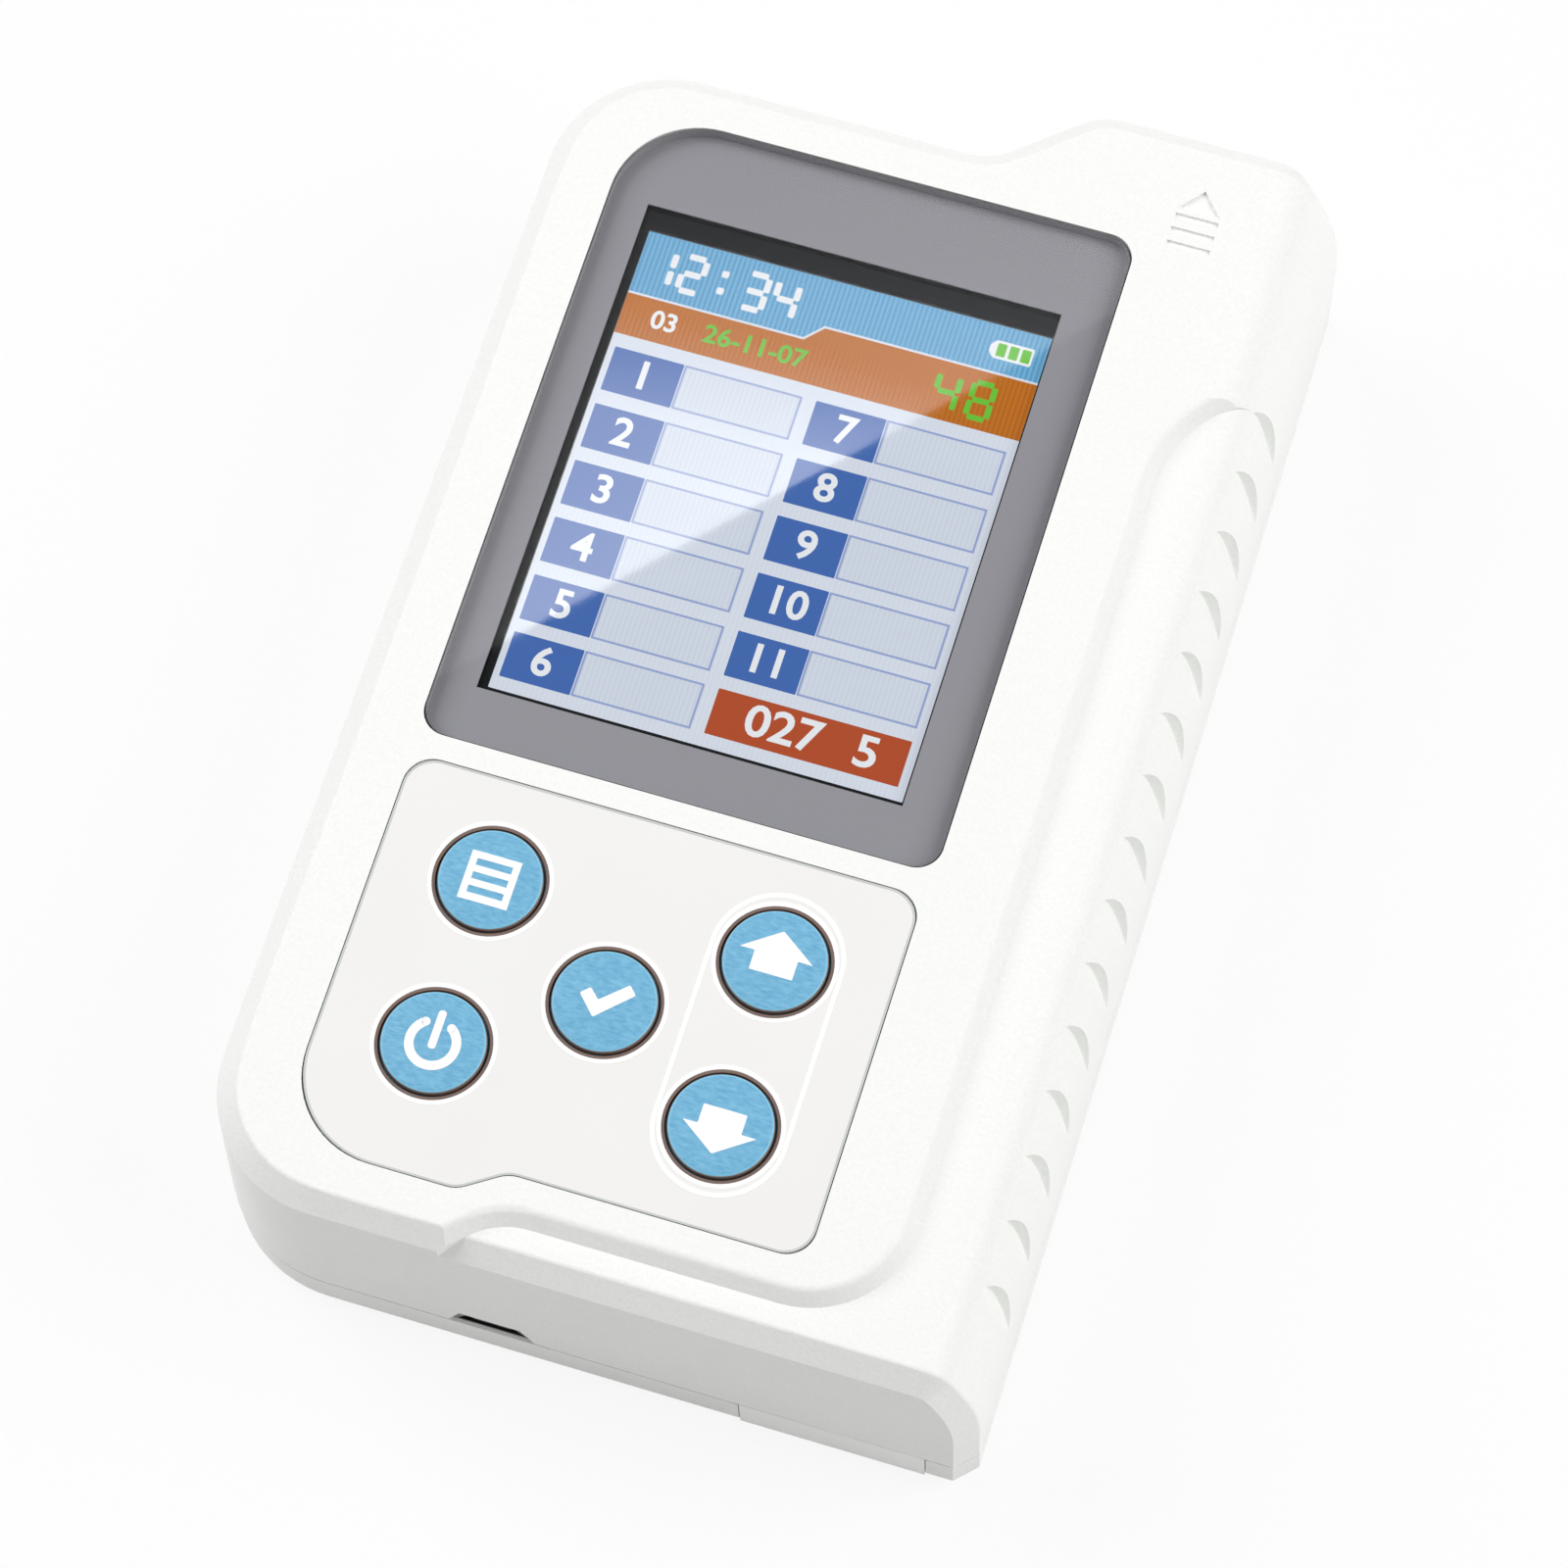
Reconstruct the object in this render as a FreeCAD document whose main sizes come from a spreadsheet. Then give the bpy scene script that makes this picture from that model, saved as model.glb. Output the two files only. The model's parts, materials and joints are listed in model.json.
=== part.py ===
import FreeCAD, Part
import math
import os
import re
from types import SimpleNamespace

# A handheld urine analyzer lying on its back: display and keys on top, a motor
# driven strip tray that slides out of the near end, below the right-hand side.
# +X is right, +Y is the display end, +Z is up. The origin is the middle of the
# footprint, on the surface that it rests on.

os.makedirs("parts", exist_ok=True)
doc = FreeCAD.newDocument("urine_analyzer")
V = FreeCAD.Vector
addendumShare = 0.9
dedendumShare = 1.2
recessShare = 0.6

# Driving dimensions, in millimetres unless the name says otherwise
sections = {
    "case": {
        "caseWidth": 73.5, "caseLength": 122.2, "plateauHeight": 29.5, "seamHeight": 6.0,
        "footHeight": 0.5, "wall": 2.0, "ledgeDrop": 1.3, "leftLean": 1.65,
        "nearCorner": 12.5, "farCorner": 12.2, "edgeCut": 1.9, "edgeSoft": 0.4,
        "sideRound": 30.0, "sideStart": 14.0, "ledgeSideSoft": 3.5, "plateauSideSoft": 5.0,
        "endStep": 7.35,
        "endStepFootSetback": 32.65, "endStepHeadSetback": 24.05, "endStepRound": 6.0,
        "ceilingDrop": 3.3, "overrun": 5.0,
    },
    "plateau step": {
        "stepRightSetback": 9.1, "stepNearSetback": 4.0, "stepNearRound": 9.65,
        "stepFarSetback": 23.25, "stepFarRound": 12.2, "stepEndSetback": 29.55,
        "stepEndRun": 5.7, "stepEndDrop": 5.1, "stepEndRound": 7.0, "stepSoft": 0.9,
    },
    "seam": {
        "shadowHeight": 0.25, "shadowDepth": 0.3, "lipHeight": 1.2, "lipThickness": 0.9,
        "lipGap": 0.05, "baseRound": 1.0,
    },
    "grip": {
        "gripFarSetback": 23.4, "gripNearSetback": 10.8, "gripPitch": 6.19, "gripDrop": 8.1,
        "gripCurve": 10.0, "gripRun": 2.3, "gripDepth": 0.95,
    },
    "arrow mark": {
        "markSetback": 12.5, "markWidth": 4.1, "markFarSetback": 5.8, "markLength": 2.35,
        "markBar": 0.5, "markPitch": 1.45, "markDepth": 0.3,
    },
    "screen": {
        "lensLeftSetback": 8.35, "lensRightSetback": 8.05, "lensFarSetback": 5.25,
        "lensSpacing": 2.5, "lensCorner": 2.6, "lensFarLeftCorner": 8.4,
        "lensThickness": 1.3, "lensGap": 0.12, "lensSink": 0.1, "maskThickness": 0.2,
        "windowLeftBorder": 3.5, "windowRightBorder": 4.7, "windowNearBorder": 5.7,
        "windowFarBorder": 8.4, "glassSide": 1.4, "glassEnd": 3.05,
        "glassThickness": 1.4, "gasketThickness": 0.5, "glassGap": 0.3,
        "flexWidth": 20.0, "flexThickness": 0.3, "flexLength": 3.3, "flexRise": 1.6,
        "socketWidth": 22.0, "socketDepth": 3.5, "socketHeight": 1.4,
    },
    "keypad": {
        "panelLeftSetback": 8.75, "panelRightSetback": 8.35, "panelLength": 34.6,
        "panelNearSetback": 8.0, "panelNearLeftSetback": 5.4, "panelJogSetback": 25.15,
        "panelJogRun": 4.0,
        "panelJogRound": 3.0, "panelCorner": 2.8, "panelNearLeftCorner": 8.6,
        "panelThickness": 0.8, "panelGap": 0.1, "panelSink": 0.05,
        "keyRadius": 4.7, "keyHole": 5.2, "sealThickness": 0.25, "sealGap": 0.05,
        "keyProud": 0.4, "keyFlange": 5.45, "keyFlangeThickness": 0.8, "keyFlangeGap": 0.05,
        "keyWell": 5.6, "keyWellFloor": 0.7, "keyStem": 1.6, "keyStemGap": 0.06,
        "keyTravel": 0.5, "keySoft": 0.35, "keyDish": 60.0,
        "keyLeftInset": 10.4, "keyRightInset": 10.65, "keyFarInset": 9.5, "keyNearInset": 9.35,
        "switchSide": 5.0, "switchHeight": 1.2, "switchGap": 0.1,
    },
    "main board": {
        "boardLeftSetback": 11.25, "boardTrayGap": 0.8, "boardEndSetback": 11.1,
        "boardThickness": 1.6, "boardDrop": 2.6, "boardCorner": 1.5,
        "boardScrewInset": 4.5, "boardScrewEnd": 3.5,
        "boardBoss": 2.2, "smallShank": 0.85, "smallHole": 0.9, "smallHead": 1.7,
        "smallHeadHeight": 1.2, "smallBite": 2.0,
        "chipSide": 9.0, "chipHeight": 1.2, "chipInset": 21.5, "chipSetback": 46.0,
        "chipPitch": 15.0,
        "radioInset": 8.5, "radioSetback": 20.0, "radioWidth": 12.0, "radioLength": 16.0,
        "radioHeight": 2.0, "radioBoard": 0.8, "radioRim": 1.0, "radioAerial": 4.0,
        "buzzerInset": 6.5, "buzzerSetback": 15.0, "buzzerRadius": 4.5, "buzzerHeight": 3.0,
        "buzzerPort": 0.8,
    },
    "charging socket": {
        "usbSetback": 28.45, "notchWidth": 8.2, "notchTopWidth": 5.7, "notchHeight": 2.95,
        "portWidth": 7.4, "portTopWidth": 5.2, "portHeight": 2.45, "portDepth": 5.5,
        "portWall": 0.3, "portRecess": 0.15, "portGap": 0.3, "tongueThickness": 0.6,
        "tongueSide": 0.9, "usbBoardWidth": 13.0, "usbBoardDepth": 8.5,
        "usbBoardThickness": 1.0, "usbPost": 1.6, "usbPin": 0.8, "usbPinGap": 0.05,
        "usbPostSpread": 4.6, "usbPostSetback": 8.5,
    },
    "battery": {
        "batterySetback": 6.75, "batteryNearGap": 8.0, "batteryRightGap": 4.4,
        "batteryFarGap": 13.4, "batteryHeight": 7.5, "batteryRound": 1.5,
        "batteryPad": 0.5, "ribThickness": 1.2, "ribHeight": 3.0, "ribGap": 0.3,
    },
    "tray": {
        "slotRightSetback": 4.45, "slotWidth": 17.5, "slotGap": 0.1, "trayFarSetback": 14.2,
        "trayStay": 30.0, "trayFloorGap": 0.3, "grooveWidth": 6.0, "grooveDepth": 1.4,
        "grooveEnd": 6.0, "tileLength": 6.0, "tileHeight": 0.9, "tileGap": 0.1,
        "tileSetback": 16.0, "rackGap": 0.6, "rackInset": 1.4, "rackSpare": 4.0,
    },
    "drive": {
        "rackModule": 0.8, "wheelModule": 0.5, "gearTeeth": 14, "wheelTeeth": 40,
        "pinionTeeth": 12, "pressureAngle": 20.0, "backlash": 0.12, "meshGap": 0.05,
        "gearSetback": 19.1, "gearThickness": 2.6, "wheelThickness": 1.8, "wheelGap": 0.6,
        "hubRadius": 2.4, "axleRadius": 1.0, "axleGap": 0.04, "axleSeat": 1.0,
        "axlePlay": 0.02, "shaftRadius": 0.75, "shaftGap": 0.02, "motorRadius": 5.5,
        "motorClearance": 2.2, "motorCap": 1.0, "motorCapInset": 0.6, "motorBush": 1.8,
        "motorBushHeight": 0.8, "pinionOverlap": 0.2,
    },
    "chassis": {
        "plateThickness": 1.0, "plateClearance": 0.5, "flangeGap": 0.4, "flangeThickness": 0.8,
        "plateMargin": 0.9, "chassisEndSetback": 11.1, "bayMargin": 2.0, "baySetback": 2.4,
        "footGap": 0.05, "tabLength": 4.0, "tabWidth": 8.0, "bayTabSetback": 36.0,
        "farTabInset": 9.6,
    },
    "optics": {
        "opticsWidth": 18.0, "opticsLength": 40.0, "opticsSetback": 8.9, "opticsHeight": 8.0,
        "channelRadius": 1.0, "channelPitch": 3.2, "channelCount": 11, "channelSpread": 2.2,
        "slitWidth": 8.0, "slitMargin": 1.6, "lampHeight": 2.2, "lampGap": 0.08,
        "sensorBoardMargin": 1.0, "sensorBoardThickness": 1.2, "coverGlass": 0.5,
        "trayEyeWidth": 5.0, "trayEyeLength": 4.0, "trayEyeHeight": 2.4, "trayEyeSetback": 7.0,
    },
    "fasteners and feet": {
        "bossRadius": 3.0, "screwNearLeftSide": 7.25, "screwNearLeftEnd": 11.1,
        "screwNearEnd": 6.1, "screwFarSide": 7.75, "screwFarLeftEnd": 16.1,
        "screwFarRightEnd": 7.1, "postGap": 0.2, "screwShank": 1.15, "screwHole": 1.2,
        "screwHead": 2.2, "screwHeadHeight": 1.6, "screwWell": 2.4, "screwWellDepth": 2.2,
        "screwBite": 6.0, "postRadius": 3.6, "socketSlot": 0.6, "socketSlotDepth": 0.6,
        "footRadius": 3.5, "footRecess": 0.5, "footGapSide": 0.1, "feetInset": 8.75,
        "feetNearLeftEnd": 25.1, "feetNearRightEnd": 13.1, "feetFarLeftEnd": 28.1,
        "feetFarRightEnd": 19.1,
    },
}

sheet = doc.addObject("Spreadsheet::Sheet", "sizes")
row = 1
for title, entries in sections.items():
    sheet.set("A%d" % row, title)
    for alias, number in entries.items():
        row += 1
        sheet.set("B%d" % row, alias)
        sheet.set("C%d" % row, str(number))
        sheet.setAlias("C%d" % row, alias)
    row += 1
doc.recompute()
aliases = {alias for entries in sections.values() for alias in entries}
s = SimpleNamespace(**{alias: float(sheet.get(alias)) for alias in aliases})


def bound(text):
    return re.sub(r"[A-Za-z]\w*", lambda word: "sizes." + word[0] if word[0] in aliases else word[0], text)


def drive(thing, name, text):
    thing.setExpression(name, bound(text))


# Heights that several pieces share, as sums of the sheet's sizes
floorTop = "(footHeight + wall)"
ceiling = "(plateauHeight - ceilingDrop)"
ledge = "(plateauHeight - ledgeDrop)"
boardTop = "(plateauHeight - ceilingDrop - boardDrop)"
boardBottom = "(plateauHeight - ceilingDrop - boardDrop - boardThickness)"
lensTop = "(plateauHeight - lensSink)"
lensBottom = "(plateauHeight - lensSink - lensThickness)"
maskBottom = "(plateauHeight - lensSink - lensThickness - maskThickness)"
glassTop = maskBottom[:-1] + " - gasketThickness)"
glassBottom = glassTop[:-1] + " - glassThickness)"
panelBottom = "(plateauHeight - panelSink - panelThickness)"
wellFloor = "(plateauHeight - ceilingDrop + keyWellFloor)"
flangeTop = panelBottom[:-1] + " - keyFlangeGap)"
flangeBottom = flangeTop[:-1] + " - keyFlangeThickness)"
switchTop = boardTop[:-1] + " + switchHeight)"
trayTop = "(seamHeight - slotGap)"
trayBottom = "(footHeight + wall + trayFloorGap)"
gearTop = trayBottom[:-1] + " + gearThickness)"
wheelBottom = trayTop[:-1] + " + wheelGap)"
wheelTop = wheelBottom[:-1] + " + wheelThickness)"
plateBottom = wheelTop[:-1] + " + plateClearance)"
plateTop = plateBottom[:-1] + " + plateThickness)"
usbBoardBottom = "(seamHeight + notchHeight)"
usbBoardTop = usbBoardBottom[:-1] + " + usbBoardThickness)"
motorTop = boardBottom[:-1] + " - motorClearance)"
opticsTop = plateTop[:-1] + " + opticsHeight)"


def height(text):
    return float(sheet.evalExpression(bound(text)))


# Places that several pieces share, set back from the case's edges or from each other
halfWidth = s.caseWidth / 2
halfLength = s.caseLength / 2
stepRight = halfWidth - s.stepRightSetback
stepNear = s.stepNearSetback - halfLength
stepFar = halfLength - s.stepFarSetback
stepEndX = s.stepEndSetback - halfWidth
stepEndY = stepNear - s.stepEndDrop
panelLeft = s.panelLeftSetback - halfWidth
panelRight = stepRight - s.panelRightSetback
panelNear = s.panelNearSetback - halfLength
panelNearLeft = s.panelNearLeftSetback - halfLength
panelFar = panelNear + s.panelLength
panelJog = s.panelJogSetback - halfWidth
leftKeysX = panelLeft + s.keyLeftInset
rightKeysX = panelRight - s.keyRightInset
okKeyX = (leftKeysX + rightKeysX) / 2
farKeysY = panelFar - s.keyFarInset
nearKeysY = panelNear + s.keyNearInset
lensLeft = s.lensLeftSetback - halfWidth
lensRight = stepRight - s.lensRightSetback
lensNear = panelFar + s.lensSpacing
lensFar = halfLength - s.endStep - s.lensFarSetback
windowLeft = lensLeft + s.windowLeftBorder
windowRight = lensRight - s.windowRightBorder
windowNear = lensNear + s.windowNearBorder
windowFar = lensFar - s.windowFarBorder
windowX = (windowLeft + windowRight) / 2
boardLeft = s.boardLeftSetback - halfWidth
boardNear = s.boardEndSetback - halfLength
boardFar = halfLength - s.boardEndSetback
usbX = s.usbSetback - halfWidth
slotRight = halfWidth - s.slotRightSetback
slotLeft = slotRight - s.slotWidth
boardRight = slotLeft - s.boardTrayGap
gearY = s.gearSetback - halfLength
bayLeft = slotLeft - s.baySetback
chassisBay = gearY + s.wheelTeeth * s.wheelModule / 2 + s.bayMargin
chassisNear = s.chassisEndSetback - halfLength
chassisFar = halfLength - s.chassisEndSetback
gripMiddle = s.plateauHeight - s.gripDrop


# Outlines: lists of sketch geometry from named corners

def roundedOutline(corners):
    """Closed outline through (x, y, radius) corners, each rounded by a tangent arc."""
    spans = []
    count = len(corners)
    for index, (x, y, radius) in enumerate(corners):
        here = V(x, y, 0)
        before = V(*corners[index - 1][:2], 0) - here
        after = V(*corners[(index + 1) % count][:2], 0) - here
        before.normalize()
        after.normalize()
        if radius <= 0:
            spans.append((here, None, here))
            continue
        turn = before.getAngle(after)
        run = radius / math.tan(turn / 2)
        middle = before + after
        middle.normalize()
        centre = here + middle * (radius / math.sin(turn / 2))
        spans.append((here + before * run, centre - middle * radius, here + after * run))
    edges = []
    for index, (start, middle, end) in enumerate(spans):
        if middle is not None:
            edges.append(Part.Arc(start, middle, end))
        following = spans[(index + 1) % count][0]
        edges.append(Part.LineSegment(end, following))
    return edges


def insetCorners(corners, depth):
    """The same corners moved inwards by depth, for outlines that run counter-clockwise."""
    lines = []
    count = len(corners)
    for index in range(count):
        start = V(*corners[index][:2], 0)
        along = V(*corners[(index + 1) % count][:2], 0) - start
        along.normalize()
        lines.append((start + V(-along.y, along.x, 0) * depth, along))
    moved = []
    for index in range(count):
        start, along = lines[index - 1]
        other, direction = lines[index]
        cross = along.x * direction.y - along.y * direction.x
        gap = other - start
        reach = (gap.x * direction.y - gap.y * direction.x) / cross
        point = start + along * reach
        radius = corners[index][2]
        turned = math.copysign(depth, cross)
        moved.append((point.x, point.y, max(radius - turned, 0)))
    return moved


def rectangle(left, near, right, far, radius=0):
    corners = ((left, near), (right, near), (right, far), (left, far))
    return roundedOutline([(x, y, radius) for x, y in corners])


def centred(x, y, width, length, radius=0):
    return rectangle(x - width / 2, y - length / 2, x + width / 2, y + length / 2, radius)


def disc(x, y, radius):
    return [Part.Circle(V(x, y, 0), V(0, 0, 1), radius)]


def caseCorners(lean=0.0, cut=0.0):
    """Corners of the case's outline; cut takes that much off its two right-hand ones."""
    left = lean - halfWidth
    farLeft = halfLength - s.endStep
    right = [(halfWidth, -halfLength, 0), (halfWidth, halfLength, 0)]
    if cut:
        right = [
            (halfWidth - cut, -halfLength, 0),
            (halfWidth, cut - halfLength, 0),
            (halfWidth, halfLength - cut, 0),
            (halfWidth - cut, halfLength, 0),
        ]
    return [
        (left, -halfLength, s.nearCorner - lean / 2),
        *right,
        (halfWidth - s.endStepHeadSetback, halfLength, s.endStepRound),
        (halfWidth - s.endStepFootSetback, farLeft, s.endStepRound),
        (left, farLeft, s.farCorner - lean / 2),
    ]


def gearOutline(teeth, module, x, y, phase):
    """Involute gear: each flank is an arc through its root, pitch and tip points."""
    pitch = teeth * module / 2
    base = pitch * math.cos(math.radians(s.pressureAngle))
    radii = (pitch - module * dedendumShare, pitch, pitch + module * addendumShare)

    def involute(radius):
        pressure = math.acos(min(base / radius, 1))
        return math.tan(pressure) - pressure

    def place(radius, angle):
        return V(x + radius * math.cos(angle), y + radius * math.sin(angle), 0)

    half = math.pi / teeth / 2 - s.backlash / 2 / pitch + involute(pitch)
    offsets = [half - involute(radius) for radius in radii]
    edges = []
    for tooth in range(teeth):
        centre = phase + 2 * math.pi * tooth / teeth
        following = centre + 2 * math.pi / teeth
        rising = [place(r, centre - o) for r, o in zip(radii, offsets)]
        falling = [place(r, centre + o) for r, o in zip(radii, offsets)]
        edges.append(Part.Arc(*rising))
        edges.append(Part.LineSegment(rising[2], falling[2]))
        edges.append(Part.Arc(falling[2], falling[1], falling[0]))
        edges.append(Part.LineSegment(falling[0], place(radii[0], following - offsets[0])))
    return edges


# Bodies and their features

def newBody(label):
    body = doc.addObject("PartDesign::Body", label)
    body.Label = label
    return body


def originPlane(body, role):
    return next(feature for feature in body.Origin.OriginFeatures if feature.Role == role)


def sketchOn(body, edges, offset, role="XY_Plane"):
    sketch = body.newObject("Sketcher::SketchObject", body.Name + "Sketch")
    sketch.AttachmentSupport = (originPlane(body, role), [""])
    sketch.MapMode = "FlatFace"
    sketch.addGeometry(edges, False)
    drive(sketch, "AttachmentOffset.Base.z", offset)
    return sketch


def pad(body, edges, bottom, top, role="XY_Plane"):
    feature = body.newObject("PartDesign::Pad", body.Name + "Pad")
    feature.Profile = sketchOn(body, edges, bottom, role)
    drive(feature, "Length", "(%s) - (%s)" % (top, bottom))
    return feature


def pocket(body, edges, bottom, top, role="XY_Plane"):
    doc.recompute()
    before = body.Shape.Volume
    feature = body.newObject("PartDesign::Pocket", body.Name + "Pocket")
    feature.Profile = sketchOn(body, edges, top, role)
    drive(feature, "Length", "(%s) - (%s)" % (top, bottom))
    doc.recompute()
    assert body.Shape.Volume < before, body.Label + " pocket cuts nothing"
    return feature


def dress(body, kind, measure, text, chosen):
    """Fillet or chamfer the body's edges that the function chosen picks."""
    doc.recompute()
    base = body.Tip
    names = ["Edge%d" % (i + 1) for i, edge in enumerate(base.Shape.Edges) if chosen(edge)]
    assert names, body.Label + " has no edge to dress"
    feature = body.newObject("PartDesign::" + kind, body.Name + kind)
    feature.Base = (base, names)
    drive(feature, measure, text)
    return feature


def flatAt(level):
    return lambda edge: all(abs(v.Point.z - level) < edge.Length / 1e4 for v in edge.Vertexes)


# Outer form of the case, up to a top level, and its trimmed right-hand side

def around(centre, radius, angle):
    return centre + V(math.cos(angle), math.sin(angle), 0) * radius


def sideOutline(inset, top, soft):
    """What lies outside the right-hand wall and its soft upper edge, seen from the near end."""
    radius = s.sideRound - inset
    centre = V(halfWidth - s.sideRound, s.sideStart, 0)
    sweep = math.asin((top - soft - s.sideStart) / (radius - soft))
    softCentre = around(centre, radius - soft, sweep)
    start = around(centre, radius, 0)
    turn = around(centre, radius, sweep)
    crest = around(softCentre, soft, math.pi / 2)
    roof = s.plateauHeight + s.overrun
    away = V(halfWidth + s.overrun, s.sideStart, 0)
    return [
        Part.Arc(start, around(centre, radius, sweep / 2), turn),
        Part.Arc(turn, around(softCentre, soft, (sweep + math.pi / 2) / 2), crest),
        Part.LineSegment(crest, V(crest.x, roof, 0)),
        Part.LineSegment(V(crest.x, roof, 0), V(away.x, roof, 0)),
        Part.LineSegment(V(away.x, roof, 0), away),
        Part.LineSegment(away, start),
    ]


def caseForm(label, inset, top, soft):
    body = newBody(label)
    low = sketchOn(body, roundedOutline(insetCorners(caseCorners(), inset)), "seamHeight")
    high = sketchOn(body, roundedOutline(insetCorners(caseCorners(s.leftLean), inset)), "plateauHeight")
    loft = body.newObject("PartDesign::AdditiveLoft", label + "Loft")
    loft.Profile = low
    loft.Sections = [high]
    loft.Ruled = True
    side = body.newObject("PartDesign::Pocket", label + "Side")
    side.Profile = sketchOn(body, sideOutline(inset, height(top), soft), "0", "XZ_Plane")
    side.Midplane = True
    drive(side, "Length", "caseLength + overrun")
    if height(top) < s.plateauHeight:
        reach = s.caseLength
        pocket(body, rectangle(-reach, -reach, reach, reach), top, "plateauHeight + overrun")
    return body


def roundedForm(label, top, soft):
    """The case form with its upper edge and its two right-hand ends cut, the crest softened."""
    body = caseForm(label, 0, top, soft)
    upper = flatAt(height(top))

    def longRight(edge):
        return edge.BoundBox.XMin > 0 and edge.BoundBox.YLength > s.caseLength - s.wall * 4

    def rightEnd(edge):
        box = edge.BoundBox
        return box.XMin > halfWidth / 2 and box.YLength < s.lipGap < box.ZLength

    crest = lambda edge: upper(edge) and not longRight(edge)
    dress(body, "Chamfer", "Size", "edgeCut", lambda edge: rightEnd(edge) or crest(edge))
    dress(body, "Fillet", "Radius", "edgeSoft", crest)
    return body


lowForm = roundedForm("case_form_low", ledge, s.ledgeSideSoft)
highForm = roundedForm("case_form_high", "plateauHeight", s.plateauSideSoft)

# The raised plateau carries the screen and keys; its soft step runs down the
# right side, turns along the near end and runs out over the near edge.
plateau = newBody("plateau_form")
outside = s.caseLength
pad(plateau, roundedOutline([
    (-outside, outside, 0),
    (-outside, stepEndY, 0),
    (stepEndX - s.stepEndRun, stepEndY, 0),
    (stepEndX, stepNear, s.stepEndRound),
    (stepRight, stepNear, s.stepNearRound),
    (stepRight, stepFar, s.stepFarRound),
    (outside, stepFar, 0),
    (outside, outside, 0),
]), "sideStart", "plateauHeight")
stepBox = FreeCAD.BoundBox(-halfWidth, stepEndY - s.wall, 0, outside + s.wall, stepFar + s.wall, outside)
onStep = lambda edge: flatAt(s.plateauHeight)(edge) and stepBox.isInside(edge.BoundBox)
dress(plateau, "Chamfer", "Size", "ledgeDrop", onStep)
dress(plateau, "Fillet", "Radius", "stepSoft", onStep)


def combine(kind, label, shapes):
    feature = doc.addObject(kind, label)
    if kind == "Part::Cut":
        feature.Base, feature.Tool = shapes
    else:
        feature.Shapes = shapes
    feature.Refine = False
    return feature


raised = combine("Part::MultiCommon", "raised_form", [highForm, plateau])
solidCase = combine("Part::MultiFuse", "solid_case", [lowForm, raised])
hollow = caseForm("case_hollow", s.wall, ceiling, s.wall)
hollowCase = combine("Part::Cut", "hollow_case", [solidCase, hollow])
doc.recompute()

# Where the screws, keys and board posts stand

caseScrews = [
    (s.screwNearLeftSide - halfWidth, s.screwNearLeftEnd - halfLength),
    (usbX + s.usbBoardWidth / 2 + s.postRadius + s.postGap, s.screwNearEnd - halfLength),
    (s.screwFarSide - halfWidth, halfLength - s.screwFarLeftEnd),
    (halfWidth - s.screwFarSide, halfLength - s.screwFarRightEnd),
]
boardScrews = [
    (boardLeft + s.boardScrewInset, boardFar - s.boardScrewEnd),
    (boardRight - s.boardScrewInset, boardFar - s.boardScrewEnd),
    (boardLeft + s.boardScrewInset, panelFar),
    (boardRight - s.boardScrewInset, panelFar),
    (okKeyX, boardNear + s.boardScrewEnd),
]
keys = {
    "key_menu": (leftKeysX, farKeysY),
    "key_power": (leftKeysX, nearKeysY),
    "key_ok": (okKeyX, (farKeysY + nearKeysY) / 2),
    "key_up": (rightKeysX, farKeysY),
    "key_down": (rightKeysX, nearKeysY),
}
feet = [
    (s.feetInset - halfWidth, s.feetNearLeftEnd - halfLength),
    (halfWidth - s.feetInset, s.feetNearRightEnd - halfLength),
    (s.feetInset - halfWidth, halfLength - s.feetFarLeftEnd),
    (halfWidth - s.feetInset, halfLength - s.feetFarRightEnd),
]
usbPosts = [(usbX + side * s.usbPostSpread, s.usbPostSetback - halfLength) for side in (-1, 1)]


def discs(places, radius):
    return [circle for x, y in places for circle in disc(x, y, radius)]


def lensCorners():
    return [
        (lensLeft, lensNear, s.lensCorner),
        (lensRight, lensNear, s.lensCorner),
        (lensRight, lensFar, s.lensCorner),
        (lensLeft, lensFar, s.lensFarLeftCorner),
    ]


def roundWindow(side, end, radius=0):
    """Rectangle that stands out from the display window by side and end."""
    return rectangle(windowLeft - side, windowNear - end, windowRight + side, windowFar + end, radius)


def panelCorners():
    return [
        (panelLeft, panelNearLeft, s.panelNearLeftCorner),
        (panelJog, panelNearLeft, s.panelJogRound),
        (panelJog + s.panelJogRun, panelNear, s.panelJogRound),
        (panelRight, panelNear, s.panelCorner),
        (panelRight, panelFar, s.panelCorner),
        (panelLeft, panelFar, s.panelCorner),
    ]


# Upper shell: the moulded form above, with its seats, wells, posts and grip

def wallX(level):
    return halfWidth - s.sideRound + math.sqrt(s.sideRound ** 2 - (level - s.sideStart) ** 2)


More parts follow.
